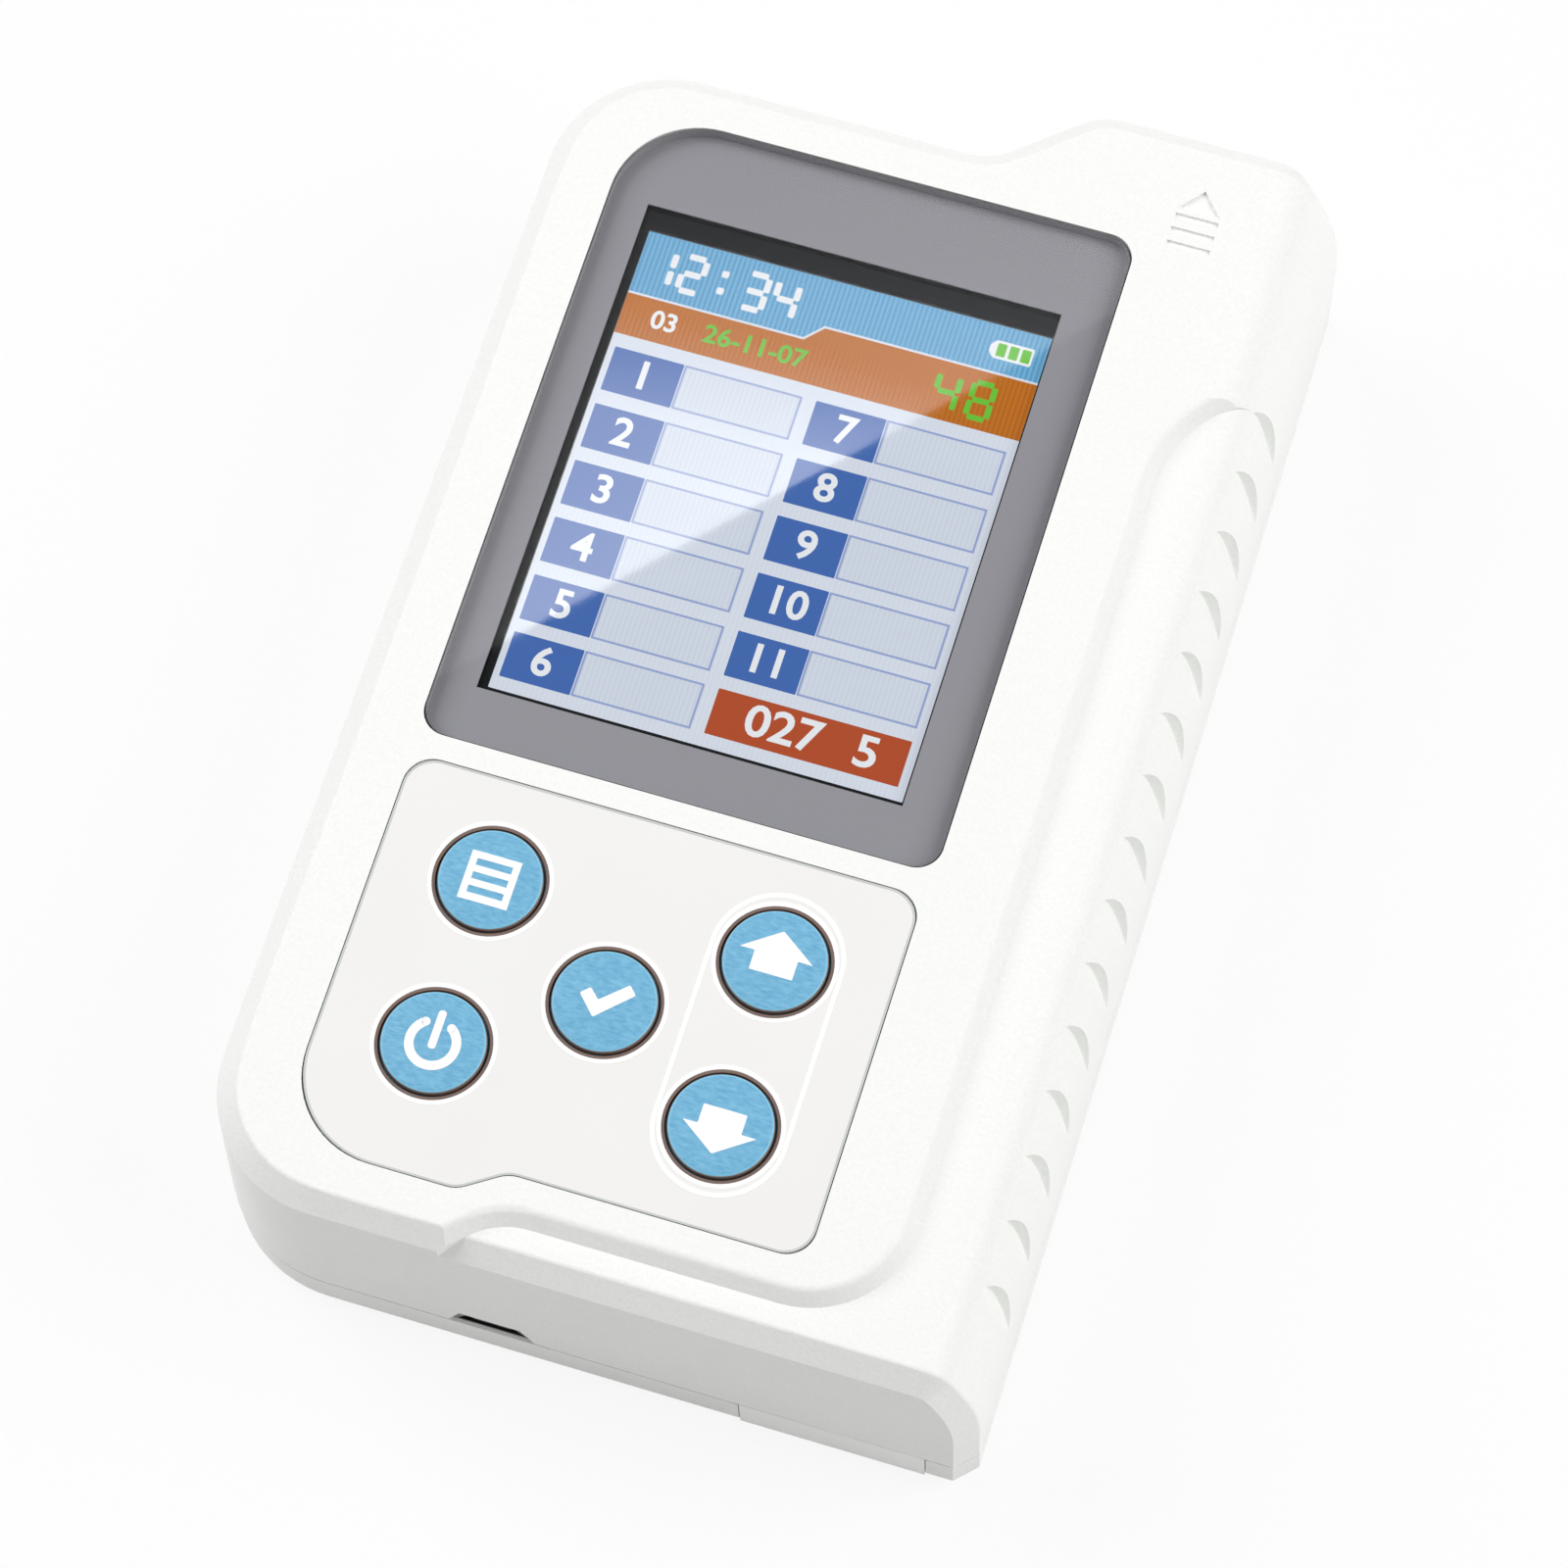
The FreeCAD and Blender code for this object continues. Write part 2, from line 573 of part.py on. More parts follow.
def gripScoops(body):
    """Scoops down the right-hand wall: each ends in a sharp arc and runs out nearwards."""
    lift = math.asin((gripMiddle - s.sideStart) / s.sideRound)
    tilt = math.atan2(s.gripDepth, s.gripRun)
    outwards = V(math.cos(lift), 0, math.sin(lift))
    farwards = V(0, 1, 0)
    axis = outwards * math.cos(tilt) + farwards * math.sin(tilt)
    slope = outwards * math.sin(tilt) - farwards * math.cos(tilt)
    first = V(wallX(gripMiddle), halfLength - s.gripFarSetback, gripMiddle) - outwards * s.gripDepth
    scoop = body.newObject("PartDesign::SubtractiveCylinder", "GripScoop")
    drive(scoop, "Radius", "gripCurve")
    drive(scoop, "Height", "wall * 2")
    scoop.Placement = FreeCAD.Placement(first + slope * s.gripCurve, FreeCAD.Rotation(V(0, 0, 1), axis))
    rows = body.newObject("PartDesign::LinearPattern", "GripRows")
    rows.Originals = [scoop]
    rows.Direction = (originPlane(body, "Y_Axis"), [""])
    rows.Reversed = True
    pitches = "floor((caseLength - gripFarSetback - gripNearSetback) / gripPitch)"
    drive(rows, "Length", "gripPitch * " + pitches)
    drive(rows, "Occurrences", pitches + " + 1")
    body.Tip = rows


def arrowMark():
    middle = halfWidth - s.markSetback
    left = middle - s.markWidth / 2
    right = middle + s.markWidth / 2
    tip = halfLength - s.markFarSetback
    base = tip - s.markLength
    edges = roundedOutline([(left, base, 0), (right, base, 0), (middle, tip, 0)])
    for bar in range(3):
        far = base - s.markBar - bar * s.markPitch
        edges += rectangle(left, far - s.markBar, right, far)
    return edges


def usbTrapezium(width, topWidth, bottom, top):
    return roundedOutline([
        (usbX - width / 2, bottom, 0),
        (usbX + width / 2, bottom, 0),
        (usbX + topWidth / 2, top, 0),
        (usbX - topWidth / 2, top, 0),
    ])


upperShell = newBody("upper_shell")
upperShell.BaseFeature = hollowCase
pad(upperShell, discs(caseScrews, s.bossRadius), "seamHeight", ceiling + " + wall / 2")
pad(upperShell, discs(boardScrews, s.boardBoss), boardTop, ceiling + " + wall / 2")
pocket(upperShell, discs(caseScrews, s.screwHole), "seamHeight", "seamHeight + screwBite + wall")
pocket(upperShell, discs(boardScrews, s.smallHole), boardTop, ceiling)
lensSeat = roundedOutline(insetCorners(lensCorners(), -s.lensGap))
pocket(upperShell, lensSeat, maskBottom, "plateauHeight + overrun")
opening = roundWindow(s.glassSide + s.glassGap, s.glassEnd + s.glassGap, s.boardCorner)
pocket(upperShell, opening, ceiling + " - overrun / 5", maskBottom)
panelSeat = roundedOutline(insetCorners(panelCorners(), -s.panelGap))
pocket(upperShell, panelSeat, panelBottom, "plateauHeight + overrun")
pocket(upperShell, discs(keys.values(), s.keyWell), wellFloor, panelBottom)
pocket(upperShell, discs(keys.values(), s.keyStem + s.keyStemGap), ceiling, wellFloor)
notch = usbTrapezium(s.notchWidth, s.notchTopWidth, s.seamHeight, s.seamHeight + s.notchHeight)
pocket(upperShell, notch, "caseLength / 2 - wall * 1.5", "caseLength / 2 + overrun", "XZ_Plane")
pocket(upperShell, arrowMark(), "plateauHeight - markDepth", "plateauHeight + overrun")
gripScoops(upperShell)

# Lower shell: a shallow pan with a shadow line at the seam, a lip that stands
# inside the upper shell, the tray's slot, screw posts and the battery's ribs

def lowerWall(inset):
    return insetCorners(caseCorners(0.0, s.edgeCut), inset)


lowerShell = newBody("lower_shell")
lipOuter = s.wall + s.lipGap
lipInner = lipOuter + s.lipThickness
pad(lowerShell, roundedOutline(lowerWall(0)), "footHeight", "seamHeight - shadowHeight")
dress(lowerShell, "Fillet", "Radius", "baseRound", flatAt(s.footHeight))
pad(lowerShell, roundedOutline(lowerWall(s.shadowDepth)), "seamHeight - shadowHeight", "seamHeight")
pad(lowerShell, roundedOutline(lowerWall(lipOuter)), "seamHeight", "seamHeight + lipHeight")
pocket(lowerShell, roundedOutline(lowerWall(lipInner)), floorTop, "seamHeight + lipHeight")
pad(lowerShell, discs(caseScrews, s.postRadius), "footHeight + baseRound", "seamHeight")
pad(lowerShell, discs(usbPosts, s.usbPost), "footHeight + baseRound", usbBoardBottom)
pad(lowerShell, discs(usbPosts, s.usbPin), usbBoardBottom, usbBoardTop)
batteryLeft = s.batterySetback - halfWidth
batteryNear = chassisBay + s.batteryNearGap
batteryRight = bayLeft - s.tabLength - s.batteryRightGap
batteryFar = halfLength - s.screwFarLeftEnd - s.postRadius - s.batteryFarGap


def roundBattery(gap, radius=0):
    return rectangle(batteryLeft - gap, batteryNear - gap, batteryRight + gap, batteryFar + gap, radius)


ribs = roundBattery(s.ribGap + s.ribThickness) + roundBattery(s.ribGap)
pad(lowerShell, ribs, "footHeight + baseRound", floorTop + " + ribHeight")
pocket(lowerShell, discs(caseScrews, s.screwWell), "footHeight", "footHeight + screwWellDepth")
pocket(lowerShell, discs(caseScrews, s.screwHole), "footHeight", "seamHeight + lipHeight")
pocket(lowerShell, discs(feet, s.footRadius + s.footGapSide), "footHeight", "footHeight + footRecess")
slot = rectangle(slotLeft, -halfLength - s.overrun, slotRight, lipInner - halfLength)
pocket(lowerShell, slot, "0", "seamHeight + lipHeight + overrun")
portRoom = s.notchWidth / 2 + s.portGap
gateNear = s.wall - halfLength
lipGate = rectangle(usbX - portRoom, gateNear, usbX + portRoom, lipInner - halfLength)
pocket(lowerShell, lipGate, "seamHeight", "seamHeight + lipHeight + overrun")

# Screen: clear lens on its printed mask, black foam, glass, its frame and flex

lens = newBody("screen_lens")
pad(lens, roundedOutline(lensCorners()), lensBottom, lensTop)
mask = newBody("lens_mask")
pad(mask, roundedOutline(lensCorners()) + roundWindow(0, 0), maskBottom, lensBottom)
gasket = newBody("lcd_gasket")
glassEdges = roundWindow(s.glassSide, s.glassEnd)
gasketInner = roundWindow(s.glassSide / 2, s.glassEnd / 2)
pad(gasket, glassEdges + gasketInner, glassTop, maskBottom)
glass = newBody("lcd_panel")
pad(glass, glassEdges, glassBottom, glassTop)
screenFrame = newBody("lcd_frame")
pad(screenFrame, glassEdges, boardTop, glassBottom)
screenNear = windowNear - s.glassEnd
flex = newBody("lcd_flex")
flexLeft = windowX - s.flexWidth / 2
flexRight = windowX + s.flexWidth / 2
flexEdges = rectangle(flexLeft, screenNear - s.flexThickness, flexRight, screenNear)
pad(flex, flexEdges, boardTop, boardTop + " + flexRise")
flexFoot = rectangle(flexLeft, screenNear - s.flexLength, flexRight, screenNear - s.flexThickness)
pad(flex, flexFoot, boardTop, boardTop + " + flexThickness")
socket = newBody("lcd_connector")
socketFar = screenNear - s.flexLength
socketEdges = rectangle(
    windowX - s.socketWidth / 2, socketFar - s.socketDepth, windowX + s.socketWidth / 2, socketFar)
pad(socket, socketEdges, boardTop, boardTop + " + socketHeight")

# Keypad: overlay panel, a dark seal ring round each key, five sprung keys

panel = newBody("keypad_panel")
panelEdges = roundedOutline(panelCorners()) + discs(keys.values(), s.keyHole)
pad(panel, panelEdges, panelBottom, "plateauHeight - panelSink")
seals = newBody("key_seals")
sealOuter = s.keyHole - s.sealGap / 2
sealEdges = discs(keys.values(), sealOuter) + discs(keys.values(), sealOuter - s.sealThickness)
pad(seals, sealEdges, panelBottom, "plateauHeight - panelSink")


def keyBody(label, x, y):
    """A key: rounded cap, flange that holds it under the panel, and guide stem."""
    body = newBody(label)
    bottom = height(switchTop + " + switchGap + keyTravel")
    under = height(flangeBottom)
    over = height(flangeTop)
    top = s.plateauHeight + s.keyProud
    rim = s.keyRadius
    sweep = math.asin((rim - s.keySoft) / s.keyDish)
    crownX = s.keyDish * math.sin(sweep / 2)
    crownDrop = s.keyDish * (1 - math.cos(sweep / 2))
    crown = s.keyDish * (1 - math.cos(sweep))
    corner = s.keySoft * (1 - math.sqrt(2) / 2)
    points = [
        V(0, bottom, 0), V(s.keyStem, bottom, 0), V(s.keyStem, under, 0), V(s.keyFlange, under, 0),
        V(s.keyFlange, over, 0), V(rim, over, 0), V(rim, top - s.keySoft, 0),
    ]
    edges = [Part.LineSegment(a, b) for a, b in zip(points, points[1:])]
    edges.append(Part.Arc(points[-1], V(rim - corner, top - corner, 0), V(rim - s.keySoft, top, 0)))
    peak = V(0, top + crown, 0)
    edges.append(Part.Arc(V(rim - s.keySoft, top, 0), V(crownX, peak.y - crownDrop, 0), peak))
    edges.append(Part.LineSegment(peak, points[0]))
    turn = body.newObject("PartDesign::Revolution", label + "Turn")
    turn.Profile = sketchOn(body, edges, "0", "XZ_Plane")
    turn.ReferenceAxis = (turn.Profile[0], ["V_Axis"])
    turn.Angle = 360
    body.Placement.Base = V(x, y, 0)
    return body


keyBodies = [keyBody(label, x, y) for label, (x, y) in keys.items()]
switches = newBody("key_switches")
switchEdges = [edge for x, y in keys.values() for edge in centred(x, y, s.switchSide, s.switchSide)]
pad(switches, switchEdges, boardTop, switchTop)

# Main board with its chips, radio, buzzer and screws

board = newBody("main_board")
boardEdges = rectangle(boardLeft, boardNear, boardRight, boardFar, s.boardCorner)
pad(board, boardEdges + discs(boardScrews, s.smallHole), boardBottom, boardTop)
chips = newBody("board_chips")
chipX = boardLeft + s.chipInset
chipPlaces = [(chipX, boardFar - s.chipSetback + step * s.chipPitch) for step in range(3)]
chipEdges = [edge for x, y in chipPlaces for edge in centred(x, y, s.chipSide, s.chipSide)]
pad(chips, chipEdges, boardBottom + " - chipHeight", boardBottom)
radio = newBody("radio_module")
radioX = boardLeft + s.radioInset
radioY = boardFar - s.radioSetback
radioEdges = centred(radioX, radioY, s.radioWidth, s.radioLength)
pad(radio, radioEdges, boardBottom + " - radioBoard", boardBottom)
canWidth = s.radioWidth - s.radioRim * 2
canLength = s.radioLength - s.radioRim * 2 - s.radioAerial
canEdges = centred(radioX, radioY - s.radioAerial / 2, canWidth, canLength)
pad(radio, canEdges, boardBottom + " - radioBoard - radioHeight", boardBottom + " - radioBoard")
buzzer = newBody("buzzer")
buzzerX = boardLeft + s.buzzerInset
buzzerY = boardNear + s.buzzerSetback
buzzerBottom = boardBottom + " - buzzerHeight"
pad(buzzer, disc(buzzerX, buzzerY, s.buzzerRadius), buzzerBottom, boardBottom)
pocket(buzzer, disc(buzzerX, buzzerY, s.buzzerPort), buzzerBottom, buzzerBottom + " + buzzerPort")


def screwGroup(label, places, head, shank, low, seat, high, slotTop, slotBottom):
    """Screws driven upwards: head below its seat, shank above, cross recess in the head."""
    body = newBody(label)
    pad(body, discs(places, head), low, seat)
    pad(body, discs(places, shank), seat, high)
    half = s.socketSlot / 2
    arm = head * recessShare
    cross = []
    for x, y in places:
        cross += roundedOutline([
            (x - arm, y - half, 0), (x - half, y - half, 0), (x - half, y - arm, 0), (x + half, y - arm, 0),
            (x + half, y - half, 0), (x + arm, y - half, 0), (x + arm, y + half, 0), (x + half, y + half, 0),
            (x + half, y + arm, 0), (x - half, y + arm, 0), (x - half, y + half, 0), (x - arm, y + half, 0),
        ])
    pocket(body, cross, slotBottom, slotTop)
    return body


smallLow = boardBottom + " - smallHeadHeight"
boardScrewBody = screwGroup("board_screws", boardScrews, s.smallHead, s.smallShank, smallLow, boardBottom,
                            boardTop + " + smallBite", smallLow + " + socketSlotDepth", smallLow)
caseSeat = "footHeight + screwWellDepth"
caseLow = caseSeat + " - screwHeadHeight"
caseScrewBody = screwGroup("case_screws", caseScrews, s.screwHead, s.screwShank, caseLow, caseSeat,
                           "seamHeight + screwBite", caseLow + " + socketSlotDepth", caseLow)
footBody = newBody("rubber_feet")
pad(footBody, discs(feet, s.footRadius), "0", "footHeight + footRecess")

# Charging socket on its own small board, held on two posts of the lower shell

usbBoard = newBody("usb_board")
usbNear = s.wall + s.portGap - halfLength
usbEdges = rectangle(
    usbX - s.usbBoardWidth / 2, usbNear, usbX + s.usbBoardWidth / 2, usbNear + s.usbBoardDepth)
pad(usbBoard, usbEdges + discs(usbPosts, s.usbPin + s.usbPinGap), usbBoardBottom, usbBoardTop)
port = newBody("usb_port")
portTop = s.seamHeight + s.notchHeight
portBottom = portTop - s.portHeight
portFace = "caseLength / 2 - portRecess"
portBack = portFace + " - portDepth"
pad(port, usbTrapezium(s.portWidth, s.portTopWidth, portBottom, portTop), portBack, portFace, "XZ_Plane")
boreWidth = s.portWidth - s.portWall * 3
boreTopWidth = s.portTopWidth - s.portWall * 3
bore = usbTrapezium(boreWidth, boreTopWidth, portBottom + s.portWall, portTop - s.portWall)
pocket(port, bore, portBack + " + portWall * 3", portFace, "XZ_Plane")
tongueTop = portTop - s.portHeight / 2 + s.tongueThickness / 2
tongueHalf = s.portTopWidth / 2 - s.tongueSide
tongue = rectangle(usbX - tongueHalf, tongueTop - s.tongueThickness, usbX + tongueHalf, tongueTop)
pad(port, tongue, portBack + " + portWall * 2", portFace + " - portRecess", "XZ_Plane")

# Battery on its foam pad

batteryFoam = newBody("battery_pad")
pad(batteryFoam, roundBattery(0), floorTop, floorTop + " + batteryPad")
battery = newBody("battery")
cellBottom = floorTop + " + batteryPad"
pad(battery, roundBattery(0, s.batteryRound), cellBottom, cellBottom + " + batteryHeight")
longWays = lambda edge: edge.BoundBox.YLength > (batteryFar - batteryNear) / 2
dress(battery, "Fillet", "Radius", "batteryRound", longWays)

# Tray: front plate, strip groove, pocket for the white reference, and its rack

trayNear = -halfLength
trayFar = halfLength - s.trayFarSetback
trayTravel = trayFar - trayNear - s.trayStay
rackTip = slotLeft + s.rackGap
rackPitch = rackTip + s.rackModule * addendumShare
rackRoot = rackPitch + s.rackModule * dedendumShare
trayRight = slotRight - s.slotGap
grooveX = (rackRoot + trayRight) / 2
gearX = rackPitch - s.gearTeeth * s.rackModule / 2 - s.meshGap


def rackOutline():
    """Straight-sided teeth along the tray's left edge, one of them level with the gear."""
    pitch = math.pi * s.rackModule
    slant = math.tan(math.radians(s.pressureAngle))
    atTip = pitch / 4 - s.rackModule * addendumShare * slant
    atRoot = pitch / 4 + s.rackModule * dedendumShare * slant
    first = -math.ceil(s.rackSpare / pitch)
    last = math.ceil((trayTravel + s.rackSpare) / pitch)
    points = []
    for tooth in range(first, last + 1):
        y = gearY + tooth * pitch
        points += [(rackRoot, y - atRoot), (rackTip, y - atTip)]
        points += [(rackTip, y + atTip), (rackRoot, y + atRoot)]
    back = rackRoot + s.rackInset
    points += [(back, points[-1][1]), (back, points[0][1])]
    return roundedOutline([(x, y, 0) for x, y in points])


tray = newBody("tray")
trayEdges = rectangle(rackRoot, trayNear + s.wall / 2, trayRight, trayFar)
pad(tray, trayEdges, trayBottom, trayTop)
plateEdges = rectangle(slotLeft + s.slotGap, trayNear, trayRight, trayNear + s.wall)
pad(tray, plateEdges, "footHeight + slotGap", trayTop)
pad(tray, rackOutline(), trayBottom, gearTop)
grooveLeft = grooveX - s.grooveWidth / 2
grooveRight = grooveX + s.grooveWidth / 2
grooveEdges = rectangle(
    grooveLeft, trayNear + s.grooveEnd, grooveRight, trayFar - s.grooveEnd, s.boardCorner)
pocket(tray, grooveEdges, trayTop + " - grooveDepth", trayTop)
tile = newBody("white_reference")
tileFar = trayFar - s.tileSetback
tileEdges = rectangle(
    grooveLeft + s.tileGap, tileFar - s.tileLength, grooveRight - s.tileGap, tileFar)
pad(tile, tileEdges, trayTop + " - grooveDepth", trayTop + " - grooveDepth + tileHeight")

# Drive: rack gear and wheel in one moulding, its axle, motor, shaft and pinion

driveGear = newBody("drive_gear")
gearEdges = gearOutline(int(s.gearTeeth), s.rackModule, gearX, gearY, math.pi / s.gearTeeth)
pad(driveGear, gearEdges, trayBottom, gearTop)
pad(driveGear, disc(gearX, gearY, s.hubRadius), gearTop, wheelBottom)
pad(driveGear, gearOutline(int(s.wheelTeeth), s.wheelModule, gearX, gearY, 0), wheelBottom, wheelTop)
pocket(driveGear, disc(gearX, gearY, s.axleRadius + s.axleGap), trayBottom + " - overrun / 5", wheelTop)
axle = newBody("gear_axle")
pad(axle, disc(gearX, gearY, s.axleRadius), floorTop + " - axleSeat", plateTop)
motorX = gearX - (s.wheelTeeth + s.pinionTeeth) * s.wheelModule / 2 - s.meshGap
pinion = newBody("motor_pinion")
pinionEdges = gearOutline(int(s.pinionTeeth), s.wheelModule, motorX, gearY, math.pi / s.pinionTeeth)
pinionBore = disc(motorX, gearY, s.shaftRadius + s.shaftGap)
pad(pinion, pinionEdges + pinionBore, wheelBottom + " - pinionOverlap", wheelTop)
shaft = newBody("motor_shaft")
shaftTop = "(%s + %s) / 2" % (plateTop, motorTop)
pad(shaft, disc(motorX, gearY, s.shaftRadius), wheelBottom + " - pinionOverlap", shaftTop)
motor = newBody("drive_motor")
pad(motor, disc(motorX, gearY, s.motorRadius), plateTop, motorTop + " - motorCap")
pad(motor, disc(motorX, gearY, s.motorRadius - s.motorCapInset), motorTop + " - motorCap", motorTop)
pad(motor, disc(motorX, gearY, s.motorBush), plateTop + " - motorBushHeight", plateTop)
shaftRoom = disc(motorX, gearY, s.shaftRadius + s.shaftGap)
pocket(motor, shaftRoom, plateTop + " - motorBushHeight", shaftTop + " + shaftGap")

# Seats of the axle and of the chassis tabs in the lower shell

chassisLeft = motorX - s.motorRadius - s.plateMargin
flangeLeft = slotRight + s.flangeGap
bayTabY = chassisFar - s.bayTabSetback
farTabX = bayLeft + s.farTabInset
tabs = [
    (chassisLeft - s.tabLength / 2, gearY),
    (bayLeft - s.tabLength / 2, bayTabY),
    (farTabX, chassisFar + s.tabLength / 2),
]
pocket(lowerShell, disc(gearX, gearY, s.axleRadius + s.axlePlay), floorTop + " - axleSeat", floorTop)
pocket(lowerShell, discs(tabs, s.smallHole), "footHeight + footRecess / 5", floorTop)

# Chassis: folded plate that bridges the tray and carries motor, axle and optics

chassis = newBody("tray_chassis")
chassisRight = flangeLeft + s.flangeThickness
pad(chassis, roundedOutline([
    (chassisLeft, chassisNear, 0),
    (chassisRight, chassisNear, 0),
    (chassisRight, chassisFar, 0),
    (bayLeft, chassisFar, 0),
    (bayLeft, chassisBay, 0),
    (chassisLeft, chassisBay, 0),
]), plateBottom, plateTop)
footLevel = floorTop + " + footGap"
flanges = [
    rectangle(flangeLeft, chassisNear, chassisRight, chassisFar),
    rectangle(bayLeft, chassisBay, bayLeft + s.flangeThickness, chassisFar),
    rectangle(chassisLeft, chassisNear, chassisLeft + s.flangeThickness, chassisBay),
    rectangle(bayLeft, chassisFar - s.flangeThickness, chassisRight, chassisFar),
]
for flange in flanges:
    pad(chassis, flange, footLevel, plateTop)
tabBoxes = [
    rectangle(chassisLeft - s.tabLength, gearY - s.tabWidth / 2,
              chassisLeft + s.flangeThickness, gearY + s.tabWidth / 2),
    rectangle(bayLeft - s.tabLength, bayTabY - s.tabWidth / 2,
              bayLeft + s.flangeThickness, bayTabY + s.tabWidth / 2),
    rectangle(farTabX - s.tabWidth / 2, chassisFar - s.flangeThickness,
              farTabX + s.tabWidth / 2, chassisFar + s.tabLength),
]
for tab in tabBoxes:
    pad(chassis, tab, footLevel, footLevel + " + plateThickness")
opticsFar = trayFar - s.opticsSetback
opticsMiddle = opticsFar - s.opticsLength / 2
slit = centred(grooveX, opticsMiddle, s.slitWidth, s.opticsLength - s.slitMargin * 2)
pocket(chassis, slit, plateBottom, plateTop)
pocket(chassis, disc(gearX, gearY, s.axleRadius + s.axlePlay), plateBottom, plateTop)
pocket(chassis, disc(motorX, gearY, s.motorBush + s.axleGap), plateBottom, plateTop)
pocket(chassis, discs(tabs, s.smallHole), floorTop, footLevel + " + plateThickness")
chassisScrews = newBody("chassis_screws")
tabTop = footLevel + " + plateThickness"
pad(chassisScrews, discs(tabs, s.smallHead), tabTop, tabTop + " + smallHeadHeight")
pad(chassisScrews, discs(tabs, s.smallShank), floorTop + " - axleSeat", tabTop)

# Optics over the strip: block with two rows of channels, lamps, cover and board

channels = []
for step in range(int(s.channelCount)):
    y = opticsMiddle + (step - (s.channelCount - 1) / 2) * s.channelPitch
    channels += [(grooveX - s.channelSpread, y), (grooveX + s.channelSpread, y)]
optics = newBody("optics_block")
opticsEdges = centred(grooveX, opticsMiddle, s.opticsWidth, s.opticsLength, s.boardCorner)
pad(optics, opticsEdges + discs(channels, s.channelRadius), plateTop, opticsTop)
lamps = newBody("optics_lamps")
pad(lamps, discs(channels, s.channelRadius - s.lampGap), opticsTop + " - lampHeight", opticsTop)
cover = newBody("optics_window")
coverEdges = centred(grooveX, opticsMiddle, s.slitWidth - s.slotGap * 2,
                     s.opticsLength - s.slitMargin * 2 - s.slotGap * 2)
pad(cover, coverEdges, plateTop + " - coverGlass", plateTop)
sensorBoard = newBody("sensor_board")
sensorEdges = centred(grooveX, opticsMiddle, s.opticsWidth,
                      s.opticsLength + s.sensorBoardMargin * 2, s.boardCorner)
pad(sensorBoard, sensorEdges, opticsTop, opticsTop + " + sensorBoardThickness")
trayEye = newBody("tray_sensor")
eyeEdges = centred(grooveX, trayFar - s.trayEyeSetback, s.trayEyeWidth, s.trayEyeLength)
pad(trayEye, eyeEdges, plateBottom + " - trayEyeHeight", plateBottom)

# Check every object, then write one file for each piece

doc.recompute()
pieces = {
    upperShell: 1, lowerShell: 1, lens: 1, mask: 1, gasket: 1, glass: 1, screenFrame: 1, flex: 1,
    socket: 1, panel: 1, seals: 5, switches: 5, board: 1, chips: 3, radio: 1, buzzer: 1,
    boardScrewBody: 5, caseScrewBody: 4, footBody: 4, usbBoard: 1, port: 1, batteryFoam: 1,
    battery: 1, tray: 1, tile: 1, driveGear: 1, axle: 1, pinion: 1, shaft: 1, motor: 1,
    chassis: 1, chassisScrews: 3, optics: 1, lamps: int(s.channelCount) * 2, cover: 1,
    sensorBoard: 1, trayEye: 1,
}
pieces.update({body: 1 for body in keyBodies})
for item in doc.Objects:
    assert not {"Invalid", "Error"} & set(item.State), item.Label + " failed"
for piece, solids in pieces.items():
    shape = piece.Shape
    assert not shape.isNull() and shape.isValid(), piece.Label + " is not a sound shape"
    assert len(shape.Solids) == solids, "%s has %d solids" % (piece.Label, len(shape.Solids))
    shape.exportStep("parts/%s.step" % piece.Label)
print(len(pieces), "pieces written")
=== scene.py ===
# Handheld urine analyzer: finishes, lit screen, printed marks, studio and camera
import json
import math
import bpy
import bmesh
from mathutils import Matrix, Vector


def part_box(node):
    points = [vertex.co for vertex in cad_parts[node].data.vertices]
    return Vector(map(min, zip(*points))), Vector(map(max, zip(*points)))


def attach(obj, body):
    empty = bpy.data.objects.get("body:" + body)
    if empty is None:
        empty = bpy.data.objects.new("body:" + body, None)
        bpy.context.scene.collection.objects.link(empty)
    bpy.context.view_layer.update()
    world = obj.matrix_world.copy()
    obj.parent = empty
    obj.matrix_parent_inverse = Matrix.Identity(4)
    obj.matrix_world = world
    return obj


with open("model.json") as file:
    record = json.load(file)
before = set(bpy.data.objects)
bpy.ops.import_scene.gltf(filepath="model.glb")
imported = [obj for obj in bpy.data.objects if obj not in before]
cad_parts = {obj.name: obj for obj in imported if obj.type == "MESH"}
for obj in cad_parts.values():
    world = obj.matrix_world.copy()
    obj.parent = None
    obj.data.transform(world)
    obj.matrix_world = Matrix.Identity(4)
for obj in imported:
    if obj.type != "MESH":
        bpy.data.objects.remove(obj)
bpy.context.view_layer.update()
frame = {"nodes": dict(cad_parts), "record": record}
nodes = frame["nodes"]
mm = 0.001
print("frame loaded:", len(nodes), "pieces")


def topOf(name):  # a node's highest point, in mm
    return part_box(name)[1][2] / mm


def middleOf(name):  # the middle of a node seen from above, in mm
    low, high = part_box(name)
    return (low[0] + high[0]) / 2 / mm, (low[1] + high[1]) / 2 / mm


# A socket that plain sums work on, so shader maths reads as maths
class Socket:
    def __init__(self, owner, plug):
        self.owner, self.plug = owner, plug

    def __add__(self, other):
        return self.owner.maths("ADD", self, other)

    def __sub__(self, other):
        return self.owner.maths("SUBTRACT", self, other)

    def __rsub__(self, other):
        return self.owner.maths("SUBTRACT", other, self)

    def __mul__(self, other):
        return self.owner.maths("MULTIPLY", self, other)

    def __truediv__(self, other):
        return self.owner.maths("DIVIDE", self, other)

    def __gt__(self, other):
        return self.owner.maths("GREATER_THAN", self, other)

    def __lt__(self, other):
        return self.owner.maths("LESS_THAN", self, other)

    __radd__ = __add__
    __rmul__ = __mul__


